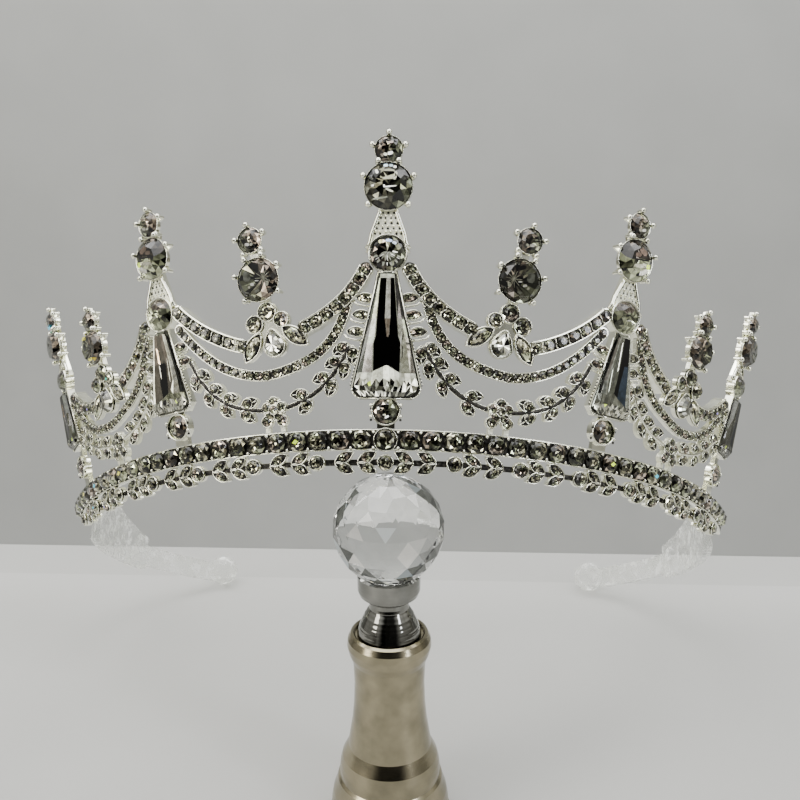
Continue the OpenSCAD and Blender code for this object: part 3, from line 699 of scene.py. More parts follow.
# small stones come in sixteen cuts of each kind: deep ones, with more facets painted dark for the dark room
# they mirror, sit near the front, and pale ones, painted lighter, sit at the sides
cuts = 16
smallLook = dict(baseLook, sectors=10, height=0.34, table=0.58)
smallKinds = {}
for kind, bright, mid in (("mid", 0.2, 0.32), ("pale", 0.34, 0.36), ("deep", 0.26, 0.12)):
    start = cuts * len(smallKinds)
    smallKinds[kind] = []
    for i in range(start, start + cuts):
        culet = (rng.uniform(-0.1, 0.1), rng.uniform(-0.1, 0.1))
        look = dict(smallLook, bright=bright, mid=mid, warm=i % 3 == 0, culet=culet)
        smallKinds[kind].append(roundStone(1.0, 100 + i, look))
smallTurn = 0.77    # each small stone is turned by this much for every step of its pick
flashLevel = 0.35
flashOutline = [(-0.16, -0.05), (0.02, -0.13), (0.17, 0.02), (0.0, 0.12)]


def addSmall(heap, d, place, pick, stretch=1.0, kind="mid", flash=None):
    stone = dict(smallKinds[kind][pick % cuts])
    stone["verts"] = stone["verts"] * d
    addShape(heap, stone, place @ stretched(stretch) @ turned(pick * smallTurn))
    # a flash is a small facet painted to glow in one colour
    if flash:
        spark = newStone()
        addFacet(spark, [(x * d, y * d, flashLevel * d) for x, y in flashOutline], (0, 0.3), flash)
        addShape(heap, endStone(spark), place)


crestNames = [("front", 0, 1), ("crest_left", 1, -1), ("crest_right", 1, 1), ("left_end", 2, -1),
              ("right_end", 2, 1)]
dropNames = [("drop_left", 0, -1), ("drop_right", 0, 1), ("drop_left_end", 1, -1), ("drop_right_end", 1, 1)]
taperCut = {"corner": 0.13, "edge": 0.12, "girdle": 1.0, "table": 1.78, "cols": 22, "lime": (1, 5),
            "crumbs": ((0.13, 0.95), (0.085, 0.88), (0.04, 0.78)), "jig": 0.27, "rises": (1.7, 0.6),
            "crumbLean": ((-0.2, 0.2), (0.15, 0.5)), "strip": 0.65, "sideLeans": (0.34, 0.6),
            "sideShade": (0.92, 1.06),
            "patches": (0.55, 0.95, 0.5, 0.85, 0.62, 1.3, 1.0, 0.7, 0.45, 0.9, 0.6)}


def taperOutline(r, grow):
    # down the left side, round the foot's two corners and up the right side
    top, foot, cut = r.topW / 2 + grow, r.footW / 2 + grow, r.footW * taperCut["corner"] + grow
    low, high = r.taperFoot - grow, r.taperTop + grow
    turns = np.linspace(0, math.pi / 2, 5)
    corner = [(foot - cut + cut * math.cos(a), low + cut - cut * math.sin(a)) for a in turns]
    return [(-top, high)] + [(-x, y) for x, y in corner] + corner[::-1] + [(top, high)]


# rows of points across the table, as parts of the half width and of the height, and the painted tones between
# them, light and shade that the facets mirror
steel, sidePale, lead = (0.035, 0.05, 0.075), (0.33, 0.34, 0.3), (0.14, 0.145, 0.12)
streak, brownShade = (0.5, 0.5, 0.48), (0.2, 0.165, 0.135)
brown, umber = (0.024, 0.021, 0.018), (0.013, 0.012, 0.01)
crumbTones = (black, lead, lead, pale, pale, sidePale, (0.6, 0.6, 0.54), (0.9, 0.9, 0.8))
frontTaper = {
    "rows": [
        [(-0.84, -0.76, -0.05, 0.44, 0.86, 0.92), 0.96],
        [(-0.6, -0.55, -0.1, 0.22, 0.6, 0.64), 0.63],
        [(-0.55, -0.5, 0.02, 0.1, 0.56, 0.6), (0.485, 0.485, 0.48, 0.48, 0.485, 0.485)],
        [(-0.59, -0.56, 0.03, 0.05, 0.63, 0.66), 0.43],
        [(-0.5, -0.45, 0.0, 0.04, 0.46, 0.5), (0.19, 0.2, 0.25, 0.25, 0.19, 0.185)],
    ],
    "tones": [[sidePale, black, streak, black, sidePale], [sidePale, black, brownShade, black, sidePale],
              [sidePale, black, black, black, sidePale], [sidePale, black, black, black, sidePale]],
    "panes": [(0.0, 0.58, 0.06, 1.5, (0.3, 0.29, 0.25)), (0.14, 0.55, 0.05, 1.3, (0.42, 0.4, 0.36)),
              (0.66, 0.45, 0.1, 1.6, white), (0.62, 0.36, 0.09, 1.2, pale)],
    "foot": (0.36, 0.37, 0.32), "footLean": (-0.05, 0.42),
}
leftTaper = {
    "rows": [
        [(-0.88, -0.8, -0.3, 0.3, 0.78, 0.88), 0.96],
        [(-0.84, -0.78, -0.42, 0.25, 0.76, 0.86), 0.6],
        [(-0.72, -0.66, -0.3, 0.3, 0.76, 0.86), 0.36],
        [(-0.5, -0.4, -0.2, 0.2, 0.72, 0.84), (0.2, 0.25, 0.22, 0.17, 0.13, 0.13)],
    ],
    "tones": [[lead, brown, umber, brown, sidePale], [lead, umber, black, umber, sidePale],
              [sidePale, umber, black, umber, sidePale]],
    "panes": [(0.28, 0.7, 0.3, 1.7, (0.62, 0.48, 0.34)), (0.2, 0.5, 0.12, 1.4, (0.3, 0.3, 0.28)),
              (-0.55, 0.5, 0.1, 2.4, (0.2, 0.2, 0.18))],
    "foot": (0.34, 0.36, 0.27), "footLean": (-0.1, 0.1),
}
rightTaper = {
    "rows": [
        [(-0.88, -0.8, -0.2, 0.35, 0.76, 0.88), 0.96],
        [(-0.86, -0.78, -0.12, 0.3, 0.68, 0.84), 0.62],
        [(-0.86, -0.76, -0.16, 0.1, 0.62, 0.84), 0.4],
        [(-0.7, -0.6, -0.2, 0.06, 0.58, 0.8), (0.24, 0.24, 0.27, 0.22, 0.14, 0.13)],
    ],
    "tones": [[sidePale, lead, black, black, sidePale], [sidePale, lead, black, steel, sidePale],
              [sidePale, lead, black, steel, sidePale]],
    "panes": [(-0.5, 0.6, 0.08, 4.2, black), (-0.3, 0.72, 0.07, 3.0, (0.5, 0.5, 0.44)),
              (-0.62, 0.42, 0.1, 2.4, grey)],
    "foot": (0.3, 0.31, 0.27), "footLean": (-0.1, 0.05),
}


def taperStone(r, look, seed):
    g = random.Random(seed)
    edge, girdle, table, strip = (taperCut[key] for key in ("edge", "girdle", "table", "strip"))
    low, high = r.taperFoot + edge, r.taperTop - edge
    cut = r.footW * taperCut["corner"]
    stone = newStone()

    def half(h):
        wide = r.topW / 2 + (r.footW - r.topW) / 2 * (r.taperTop - h) / (r.taperTop - r.taperFoot - cut)
        return min(wide, r.footW / 2 - max(0.0, r.taperFoot + cut - h)) - edge

    def at(u, v, level):
        h = low + v * (high - low)
        return u * half(h), h, level

    rows = [[at(u, v, table) for u, v in zip(us, np.broadcast_to(vs, len(us)))] for us, vs in look["rows"]]
    pairs = list(zip(rows, rows[1:]))
    for (upper, lower), tones in zip(pairs, look["tones"]):
        for i, tone in enumerate(tones):
            lean = (0.0, 0.0) if tone == black else (-0.3, 0.12)
            addFacet(stone, [upper[i], lower[i], lower[i + 1], upper[i + 1]], lean, tone)
    # long side facets, each in two strips that part near the girdle
    for side, m in ((0, -1), (-1, 1)):
        for upper, lower in pairs:
            a, b = upper[side], lower[side]
            wallA, wallB = ((m * half(p[1]), p[1], girdle) for p in (a, b))
            sides = ((a, wallA), (b, wallB))
            midA, midB = (tuple((1 - strip) * u + strip * v for u, v in zip(*ends)) for ends in sides)
            quads = ([a, b, midB, midA], [midA, midB, wallB, wallA])
            for quad, lean, tone in zip(quads, taperCut["sideLeans"], (sidePale, grey)):
                tone = tuple(c * g.uniform(*taperCut["sideShade"]) for c in tone)
                addFacet(stone, quad if m < 0 else quad[::-1], (-lean, 0.1), tone)
    for u, v, w, h, tone in look["panes"]:
        # a streak of light or dark that runs up the table
        x, y, level = at(u, v, table + lift)
        shape = [(x - w, y - h), (x + w * 0.6, y - h * 0.8), (x + w, y + h), (x - w * 0.4, y + h * 0.7)]
        addFacet(stone, [(p, q, level) for p, q in shape], (-0.25, 0.15), tone)
    topEdge = [rows[0][0], rows[0][-1], (half(high), high, girdle), (-half(high), high, girdle)]
    addFacet(stone, topEdge, (0, 0.4), grey)
    # the foot is broken into crumbs of facets, painted light and dark, that run down to the girdle
    cols = taperCut["cols"]
    last = rows[-1]
    reach = half(last[0][1])
    across = [-1 + 2 * i / cols for i in range(cols + 1)]
    inner = [float(np.interp(u * reach, [p[0] for p in last], [p[1] for p in last])) for u in across]
    grid = [[(u * reach, h, table if abs(u) < 1 else girdle) for u, h in zip(across, inner)]]
    for v, share in (*taperCut["crumbs"], (0.0, None)):
        h = low + v * (high - low)
        rise = taperCut["rises"][min(len(grid) - 1, 1)]
        line = []
        for u in across:
            jig = 0.0 if abs(u) == 1 or share is None else taperCut["jig"]
            level = table * share if share and abs(u) < 1 else girdle
            line.append((u * half(h) + g.uniform(-jig, jig), h + g.uniform(-jig, jig) * rise, level))
        grid.append(line)
    for j in range(len(grid) - 1):
        for i in range(cols):
            a, b, c, e = grid[j][i], grid[j][i + 1], grid[j + 1][i], grid[j + 1][i + 1]
            for tri in ([a, c, b], [b, c, e]) if (i + j) % 2 else ([a, c, e], [a, e, b]):
                tone = g.choice(crumbTones)
                slope = [g.uniform(*span) for span in taperCut["crumbLean"]]
                if j == 0:
                    # the wide facets below the black, painted pale in patches, parted by slants
                    patches = taperCut["patches"]
                    tone = dimmed(look["foot"], patches[i * len(patches) // cols])
                    slope = look["footLean"]
                addFacet(stone, tri, slope, "lime" if (j, i) == taperCut["lime"] else tone)
    outline = taperOutline(r, -edge)
    for p, q in zip(outline, outline[1:] + outline[:1]):
        addFacet(stone, [(*p, 0.0), (*q, 0.0), (*q, girdle), (*p, girdle)], (0, 0.2), grey)
    addFacet(stone, [(*p, 0.0) for p in outline[::-1]], (0, 0), grey)
    return endStone(stone)


def pearOutline(d, length, n=20):
    pts = []
    for a in np.linspace(0, math.tau, n, endpoint=False):
        x, y = math.cos(a) * d / 2, math.sin(a) * d / 2
        if y > 0:
            up = y / (d / 2)
            x, y = x * (1 - 0.45 * up), up * (length - d / 2)
        pts.append((x, y))
    return pts


pear = {"h": -2.5, "size": (3.9, 5), "height": 1.6, "rim": (4.2, 5.3), "wedge": (20, 75), "tip": (-0.1, 0.1),
        "rings": ((0.6, 1.0), (0.84, 0.62), (0.99, 0.25), (0.9, 0.0)),
        "face": (pale, white, white, (0.6, 0.6, 0.56)),
        "side": (pale, grey, (0.12, 0.12, 0.1), (0.7, 0.7, 0.66), white)}


def pearStone(seed):
    # painted pale and glassy, with one black wedge of painted shade at the upper right and dark crumbs round
    # it
    g = random.Random(seed)
    outline = pearOutline(*pear["size"])
    rings = []
    for scale, level in pear["rings"]:
        rings.append([(x * scale, y * scale, level * pear["height"]) for x, y in outline])
    stone = newStone()
    for i, (x, y) in enumerate(outline):
        k = (i + 1) % len(outline)
        turn = math.degrees(math.atan2(y, x)) % 360
        dark = pear["wedge"][0] < turn < pear["wedge"][1]
        tone = black if dark else g.choice(pear["face"])
        wedge = [(*pear["tip"], pear["height"]), rings[0][i], rings[0][k]]
        addFacet(stone, wedge, (g.uniform(-0.15, 0.15), g.uniform(0, 0.3)), tone)
        for upper, lower in zip(rings, rings[1:]):
            tone = g.choice(pear["side"])
            away = np.array((x, y)) / np.linalg.norm((x, y)) * g.choice((-0.4, 0.5))
            addFacet(stone, [upper[i], lower[i], lower[k], upper[k]], (away[0], away[1] + 0.1), tone)
    addFacet(stone, rings[-1][::-1], (0, 0), grey)
    return endStone(stone)


def singleStone(start, kind, shape, place):
    name = start + "_" + kind + "_stone"
    heap = newHeap()
    addShape(heap, shape, place)
    makePiece("cut_" + name, heap, crystal, [name])


for n, (start, i, k) in enumerate(crestNames):
    r = crestRows[i]
    wall = plateMatrix(r.station, k)
    sideTaper = leftTaper if k < 0 else rightTaper
    endTop = cyanTopLook if k < 0 else paleTopLook
    top, big, rounded, taper = [(topLook, frontBigLook, roundLook, frontTaper),
                                (paleTopLook, sideBigLook, sideRoundLook, sideTaper),
                                (endTop, endBigLook, sideRoundLook, sideTaper)][i]
    singleStone(start, "top", roundStone(r.topD, 5 + n, top), wall @ spot(0, r.topH, seat))
    singleStone(start, "big", roundStone(r.bigD, 15 + n, big), wall @ spot(0, r.bigH, seat))
    singleStone(start, "round", roundStone(r.roundD, 25 + n, rounded), wall @ spot(0, r.roundH, seat))
    singleStone(start, "taper", taperStone(r, taper, 40 + n), wall @ spot(0, 0, seat))
for n, (start, i, k) in enumerate(dropNames):
    r = dropRows[i]
    wall = plateMatrix(r.station, k)
    top = paleTopLook if i else topLook
    big = dropBigLook if i == 0 else endDropLook if k < 0 else endBigLook
    singleStone(start, "top", roundStone(r.topD, 61 + n, top), wall @ dropSpot(r, 0, r.topUp, seat))
    singleStone(start, "big", roundStone(r.bigD, 71 + n, big), wall @ dropSpot(r, 0, r.bigUp, seat))
    singleStone(start, "pear", pearStone(81 + n), wall @ dropSpot(r, 0, pear["h"], seat))

heap = newHeap()
for i, r in enumerate(crestRows):
    for k in (-1, 1) if i else (1,):
        shape = roundStone(r.lowD, 90 + 3 * i + k, paleBaseLook if i else baseStoneLook)
        put(heap, shape, plateMatrix(r.station, k), r.lowX, r.lowH, seat)
makePiece("cut_base_stones", heap, crystal, ["base_stones"])
print("large stones cut")

marquise = {"at": (4.35, -1.8), "lean": 48, "stone": 2.3, "stretch": 2.0, "rim": (6.2, 2.9)}


def marquisePlace(r, m, out):
    turn = math.radians(-m * marquise["lean"])
    return dropSpot(r, m * marquise["at"][0], marquise["at"][1], out, turn)


heap = newHeap()
for i, r in enumerate(dropRows):
    for k in (-1, 1):
        wall = plateMatrix(r.station, k)
        for q, (x, h, d) in enumerate(trefoil):
            flash = "teal" if (i, k, q) == (1, -1, 0) else None
            kind = "pale" if i else "mid"
            addSmall(heap, d, wall @ dropSpot(r, x, h, seat), 3 * i + q + k + 1, kind=kind, flash=flash)
        for m in (-1, 1):
            shape = roundStone(marquise["stone"], 17 + i + m, marquiseLook)
            addShape(heap, shape, wall @ marquisePlace(r, m, seat) @ stretched(marquise["stretch"]))
makePiece("cut_drop_small_stones", heap, crystal, ["drop_small_stones"])

band = {"stones": 24, "first": 4.4, "pitch": 4.0, "stone": 3.6, "centre": 4.0, "half": 1.92, "end": 103.8,
        "bead": 0.34, "beadH": 1.42, "beadOut": 0.3, "beadScale": (0.85, 1.1), "beadShift": 0.1,
        "railWire": 0.16, "railIn": 0.14, "railOut": 0.02, "recessIn": 0.24, "recessOut": 0.03,
        "bezel": (0.1, 0.1, 0.62), "paleFrom": 13,
        "flashes": {-4: "lime", -15: "yellow", -18: "cyan", -20: "yellow", 11: "lime", 14: "cyan"}}


def bandStation(i):
    return 0 if i == 0 else math.copysign(band["first"] + (abs(i) - 1) * band["pitch"], i)


def wallLine(h, out):
    # a line round the whole band at one height
    return wireLine([(plateMatrix(s), 0, h, out) for s in np.linspace(-band["end"], band["end"], 160)])


heap = newHeap()
for i in range(-band["stones"], band["stones"] + 1):
    d = band["centre"] if i == 0 else band["stone"]
    kind = "pale" if abs(i) >= band["paleFrom"] else "mid"
    place = plateMatrix(bandStation(i)) @ spot(0, 0, seat)
    addSmall(heap, d, place, i + 30, kind=kind, flash=band["flashes"].get(i))
makePiece("cut_band_stones", heap, crystal, ["band_stone_row"])

heap = newHeap()
for i in range(-band["stones"], band["stones"]):
    wall = plateMatrix((bandStation(i) + bandStation(i + 1)) / 2)
    for m in (-1, 1):
        bead = ball(band["bead"] * rng.uniform(*band["beadScale"]), 6, 12)
        shift = rng.uniform(-band["beadShift"], band["beadShift"])
        put(heap, bead, wall, shift, m * band["beadH"], band["beadOut"])
for m in (-1, 1):
    addWire(heap, wallLine(m * (band["half"] - band["railIn"]), band["railOut"]), band["railWire"])
# the centre stone sits in a thin bezel of its own
gap, wire, level = band["bezel"]
addShape(heap, rimRing(band["centre"] / 2 + gap, wire, level, 32), plateMatrix(0))
makePiece("band_beads", heap, silver)

# a dark ribbon of painted shade lies in the channel between the two rails
heap = newHeap()
reach = band["half"] - band["recessIn"]
addShape(heap, ribbon(*(wallLine(h, band["recessOut"])[0] for h in (-reach, reach))))
makePiece("band_recess_shade", heap, recess)
print("band set")

leafRow = {"mid": -4.12, "pitch": 12.65, "rounds": 7, "spots": (3.45, 7.6), "off": 0.95, "slope": 28,
           "leaf": (4.1, 2.1), "inset": 0.26, "stone": 1.72, "stretch": 1.22, "rim": 0.13, "rimLevel": 0.16,
           "link": 2.5, "linkGap": 0.14, "linkLevel": 0.34, "bar": (10.05, 0.9, -0.22), "recess": 0.04,
           "paleFrom": 4, "flashAt": 5}
heap, rims, dark = newHeap(), newHeap(), newHeap()
leafEdge = lensOutline(*leafRow["leaf"], inset=leafRow["inset"])
leafRim = outlineTube(leafEdge, leafRow["rim"], leafRow["rimLevel"], 6)
linkRim = rimRing(leafRow["link"] / 2 + leafRow["linkGap"], leafRow["rim"], leafRow["linkLevel"])
w, h, level = leafRow["bar"]
linkBar = flatPad([(-w / 2, -h / 2), (w / 2, -h / 2), (w / 2, h / 2), (-w / 2, h / 2)], level)


def addLink(wall, x, pick, kind="deep", flash=None):
    addSmall(heap, leafRow["link"], wall @ spot(x, leafRow["mid"], seat), pick, kind=kind, flash=flash)
    put(rims, linkRim, wall, x, leafRow["mid"])


addLink(plateMatrix(0), 0, 3)
for k in (-1, 1):
    for i in range(leafRow["rounds"]):
        wall = plateMatrix((i + 0.5) * leafRow["pitch"], k)
        half = leafRow["pitch"] / 2
        kind = "pale" if i >= leafRow["paleFrom"] else "deep"
        flashes = k < 0 and i == leafRow["flashAt"]
        # a dark bar of painted shade lies behind each link between the leaves
        put(dark, linkBar, wall, 0, leafRow["mid"])
        for q, x in enumerate(leafRow["spots"]):
            for m in (-1, 1):
                turn = math.radians(-m * leafRow["slope"])
                here = wall @ spot(x - half, leafRow["mid"] + m * leafRow["off"], 0, turn)
                flash = "violet" if flashes and (q, m) == (1, -1) else None
                pick = int(i * 7 + x + m + 9)
                addSmall(heap, leafRow["stone"], here @ move(z=seat), pick, leafRow["stretch"], kind, flash)
                addShape(rims, leafRim, here)
                # a dark pad of painted shade fills each leaf inside its rim
                addShape(dark, flatPad(leafEdge, leafRow["recess"]), here)
        addLink(wall, half, i * 5 + k + 4, kind, "cyan" if flashes else None)
makePiece("cut_leaf_stones", heap, crystal, ["leaf_stone_row"])
makePiece("leaf_rims", rims, silver)
makePiece("leaf_recess_shade", dark, recess)
print("leaf row set")

# upper swags: stones in a channel with a bright outer wall, lower swags: a narrow channel of fine stones
# a bead is radius, rows, sides, distance off the middle and height, and an edge is side, wire and height
upperSwag = {"stone": 2.3, "seat": seat, "step": 3, "bead": (0.26, 5, 8, 0.95, 0.28),
             "wall": 1.2, "points": 36, "edges": ((1, 0.21, 0.42), (-1, 0.15, 0.32)), "sides": 8,
             "ends": (-0.02, 1.02), "recess": 0.04, "inside": 0.05, "violet": {-1: 2, 1: 4}, "foot": -0.1,
             "web": [(-0.2, -0.8, 0.3), (0, 0, 0.36), (0.2, 0.8, 0.3)], "webWire": 0.1}
lowerSwag = {"stone": 1.66, "pitch": 1.84, "seat": 0.05, "step": 5, "bead": (0.19, 4, 8, 0.66, 0.22),
             "wall": 0.9, "points": 44, "edges": ((-1, 0.11, 0.14), (1, 0.11, 0.14)), "sides": 6,
             "ends": (0, 1), "recess": 0.03, "inside": 0.05}
heap, tiny, rails, dark = (newHeap() for i in range(4))


def addSwag(row, k, swag, stones, n):
    r, rows, sides, off, out = swag["bead"]
    for j in range(row.first, n):
        s0, x, h = runSpot(row, j / (n - 1))
        flash = "violet" if row is upperRows[3] and j == upperSwag["violet"][k] else None
        place = plateMatrix(s0, k) @ spot(x, h, swag["seat"])
        kind = "pale" if row.spike else "deep"
        addSmall(stones, swag["stone"], place, j * swag["step"] + n + k, kind=kind, flash=flash)
        if j < n - 1:
            place = runPlace(row, (j + 0.5) / (n - 1), k)
            for m in (-1, 1):
                addShape(rails, ball(r, rows, sides), place @ move(y=m * off, z=out))
            if swag is upperSwag:
                addShape(rails, tube(swag["web"], swag["webWire"], 6), place)
    for m, wire, lip in swag["edges"]:
        line = runLine(row, k, m * swag["wall"], lip, swag["points"], *swag["ends"])
        addWire(rails, line, wire, swag["sides"])
        if swag is upperSwag:
            foot = runLine(row, k, m * swag["wall"], swag["foot"], swag["points"], *swag["ends"])
            addShape(rails, ribbon(line[0], foot[0]) if m > 0 else ribbon(foot[0], line[0]))
    # a dark ribbon of painted shade fills the channel under the stones
    reach = swag["wall"] - swag["inside"]
    addShape(dark, ribbon(*(runLine(row, k, m * reach, swag["recess"], swag["points"])[0] for m in (-1, 1))))


for k in (-1, 1):
    for row in upperRows:
        addSwag(row, k, upperSwag, heap, row.cups)
    for row in lowerRows:
        addSwag(row, k, lowerSwag, tiny, round(runLength(row) / lowerSwag["pitch"]) + 1)
makePiece("cut_swag_stones", heap, crystal, ["swag_stone_rows"])
makePiece("cut_swag_tiny_stones", tiny, crystal)
makePiece("swag_rails", rails, silver)
makePiece("swag_recess_shade", dark, recess)
print("swags set")

garland = {"leaf": (3.8, 2.4), "inset": 0.26, "off": 1.25, "splay": 24, "stone": 1.86, "back": 0.42,
           "rim": 0.13, "stem": 0.36, "petal": 1.701, "petalAt": 1.45, "middle": (0, 0, 1.5), "beadAt": 2.1,
           "feet": [(-1.5, -2.1, 1.9), (1.5, -2.1, 1.9)], "more": [[0.22], [], [], []]}
rims, dark, tiny = newHeap(), newHeap(), newHeap()
leafEdge = lensOutline(*garland["leaf"], inset=garland["inset"])
leafRim = outlineTube(leafEdge, garland["rim"], 0.14, 6)
stoneRim = rimRing(garland["stone"] / 2 + 0.08, 0.1, 0.2, 20)
leafBody = slabOf(lensOutline(*garland["leaf"]), -0.8, 0.0)


def around(r, n, start):
    # spots on a circle
    turns = [math.radians(i * 360 / n + start) for i in range(n)]
    return [(r * math.cos(a), r * math.sin(a)) for a in turns]


for k in (-1, 1):
    for j, (row, spots) in enumerate(zip(stemRows, pairRows)):
        ahead = 1 if j % 2 == 0 else -1
        for i, t in enumerate(spots + garland["more"][j]):
            stalk = runPlace(row, t, k)
            for m in (-1, 1):
                here = stalk @ spot(0, m * garland["off"], 0, math.radians(m * ahead * garland["splay"]))
                addShape(rims, leafRim, here)
                # a dark pad of painted shade fills each leaf inside its rim
                addShape(dark, flatPad(leafEdge, 0.03), here)
                if t in garland["more"][j]:
                    addShape(rims, leafBody, here)
                kind = "pale" if row.spike else "deep"
                place = here @ move(-ahead * garland["back"], 0, 0.06)
                addSmall(tiny, garland["stone"], place, i * 3 + m + 5 * j + k + 1, kind=kind)
                addShape(rims, stoneRim, here @ move(-ahead * garland["back"]))
                # the leaf's tip is bare metal with a fold down its middle
                addShape(rims, tube([(ahead * 0.62, 0, 0.1), (ahead * 1.5, 0, 0.16)], 0.12, 6), here)
        # the stems of the inner garlands are drawn dark, in painted shade
        addWire(rims if row.spike else dark, runLine(row, k, 0, 0.02, 25), garland["stem"])
        for m in (-1, 1):
            addWire(rims, runLine(row, k, m * 0.4, 0.06, 25), 0.07, 6)
    for i, (s, h) in enumerate(flowerRows):
        wall = plateMatrix(dropRows[i].station, k)
        x = plateX(s, h, dropRows[i].station)
        petals = [(u, v, garland["petal"]) for u, v in around(garland["petalAt"], 5, 90)]
        for q, (u, v, d) in enumerate(petals + garland["feet"] + [garland["middle"]]):
            out = 0.3 if q == len(petals) + len(garland["feet"]) else 0.05
            addSmall(tiny, d, wall @ spot(x + u, h + v, out), 7 * i + 3 * q + k + 2)
            put(rims, rimRing(d / 2 + 0.1, 0.12, out + 0.16, 20), wall, x + u, h + v)
            # a dark disc of painted shade lies under each stone of the flower
            put(dark, disc(d / 2 + 0.04, 0.02), wall, x + u, h + v)
        # small beads between the petals
        for u, v in around(garland["beadAt"], 5, 54):
            put(rims, ball(0.26, 5, 8), wall, x + u, h + v, 0.05)
makePiece("garland_rims", rims, silver)
makePiece("garland_recess_shade", dark, recess)
makePiece("cut_garland_stones", tiny, crystal)
print("garlands set")

crestTrim = {"pit": 0.22, "grain": 0.3, "pitch": 1.02, "rail": 0.4, "milgrain": 0.15, "milPitch": 0.62,
             "leaf": (3.6, 2.1), "inset": 0.26, "stone": 1.78, "stretch": 1.55, "bar": 0.22,
             "roundRims": ((0.26, 0.14, 0.72), (0.06, 0.05, 0.66)), "lowRim": (0.28, 0.16, 0.7),
             "lowProngs": ((-0.99, -1.62), (1.08, 0.45)), "lowReach": 0.45,
             "neck": (-0.2, 0.04), "railOut": 0.12, "margin": 0.45, "scale": (0.8, 1.15),
             "pitShift": 0.08, "pitOut": 0.03, "grainShift": 0.1, "grainOut": 0.08,
             "taperRim": (0.24, 0.17, 0.62), "taperGapShade": (0.02, 0.05, 0.76),
             "milScale": (0.8, 1.2), "milOff": 0.5, "milTop": 0.6, "milFoot": 0.2,
             "leafRim": (0.14, 0.16), "leafRecess": 0.03, "stoneIn": 0.2, "stoneOut": 0.06,
             "stalk": ((0, 0.5, -1.55), (1, 0, -1.5), (1, 1.5, -1.2), (1, 2.1, -0.5))}
# turns of the prongs about a stone, in degrees from straight up, and the polished bead that ends each
prong = {"big": (-22, 22, -68, 68, -133, 133), "top": (0, -74, 74, -142, 142), "reach": 0.66, "level": 0.14}
prongBead = ball(0.57, 8, 14)
lowProng, lowProngShade = ball(0.36, 6, 10), ball(0.26, 5, 8)
grainShadow = ball(0.13, 4, 6)
# a cup's points: radius as a share of the stone's diameter and more, level as a share of the lip's and more
cup = {"lip": 0.1, "gap": ((0.5, -0.02, 1, -0.06), (0.5, 0.09, 1, -0.04)),
       "wall": ((0.36, 0, 0, 0.02), (0.5, 0.02, 1, -0.16), (0.5, 0.1, 1, 0), (0.5, 0.2, 1, -0.1),
                (0.36, 0.26, 0, 0))}
rims, necks, dark, tiny = (newHeap() for i in range(4))


def addBar(heap, wall, points, wire, out=0.0):
    up = tuple(wall.to_3x3() @ Vector((0, 0, 1)))
    addShape(heap, tube([tuple(wall @ Vector((*p, out))) for p in points], wire, 8, up=up))


def addLoop(heap, wall, outline, wire, out):
    for p, q in zip(outline, outline[1:] + outline[:1]):
        addBar(heap, wall, [p, q], wire, out)


def evenly(a, b, step):
    # spots along a straight line at about one step apart
    n = max(1, round(math.hypot(b[0] - a[0], b[1] - a[1]) / step))
    return [(a[0] + (b[0] - a[0]) * i / n, a[1] + (b[1] - a[1]) * i / n) for i in range(n + 1)]


def addSetting(places):
    # thin cups that stop below the girdle, with a dark line of painted shade between cup and stone, then the
    # prongs
    for place, d, kind in places:
        lip = d * cup["lip"] + seat
        for heap, spots in ((rims, cup["wall"]), (dark, cup["gap"])):
            profile = [(d * share + more, lip * part + up) for share, more, part, up in spots]
            addShape(heap, lathe(profile, 40), place)
    for place, d, kind in places:
        reach = d / 2 + prong["reach"]
        for a in (math.radians(deg) for deg in prong[kind]):
            here = place @ move(reach * math.sin(a), reach * math.cos(a), d * prong["level"])
            addShape(rims, prongBead, here)


def addNeck(wall, r):
    # bright metal with rows of drilled pits, drawn as dark discs of painted shade, between two rails
    low, high = r.roundH + r.roundD / 2 + 0.5, r.bigH - r.bigD * 0.5 - 0.4
    wide, narrow = r.roundD / 2 - 0.3, r.bigD * 0.17
    edge = [(r.roundD / 2 + 0.9, r.roundH + 0.3), (r.roundD / 2 + 0.15, r.roundH + 1.8), (narrow, high + 0.9)]
    addShape(necks, slabOf([(-x, y) for x, y in edge] + edge[::-1], *crestTrim["neck"]), wall)
    rail = [(r.roundD / 2 + 0.75, r.roundH + 0.9), (r.roundD / 2 + 0.1, r.roundH + 2.0),
            (wide + 0.15, low - 0.2), (narrow + 0.1, high), (narrow - 0.05, high + 0.8)]
    for m in (-1, 1):
        addBar(rims, wall, [(m * x, y) for x, y in rail], crestTrim["rail"], crestTrim["railOut"])
    rows = max(2, round((high - low) / crestTrim["pitch"]))
    for j in range(rows + 1):
        h = low + (high - low) * j / rows
        w = wide + (narrow - wide) * (h - low) / (high - low) - crestTrim["margin"]
        cols = max(1, round(2 * w / crestTrim["pitch"]))
        for c in range(cols + 1):
            x = -w + 2 * w * c / cols + rng.uniform(-crestTrim["pitShift"], crestTrim["pitShift"])
            pit = disc(crestTrim["pit"] * rng.uniform(*crestTrim["scale"]), crestTrim["pitOut"], 10)
            put(dark, pit, wall, x, h, crestTrim["pitOut"])
            if j < rows:
                grain = ball(crestTrim["grain"] * rng.uniform(*crestTrim["scale"]), 5, 9)
                x += rng.uniform(-crestTrim["grainShift"], crestTrim["grainShift"])
                put(rims, grain, wall, x, h + (high - low) / rows / 2, crestTrim["grainOut"])


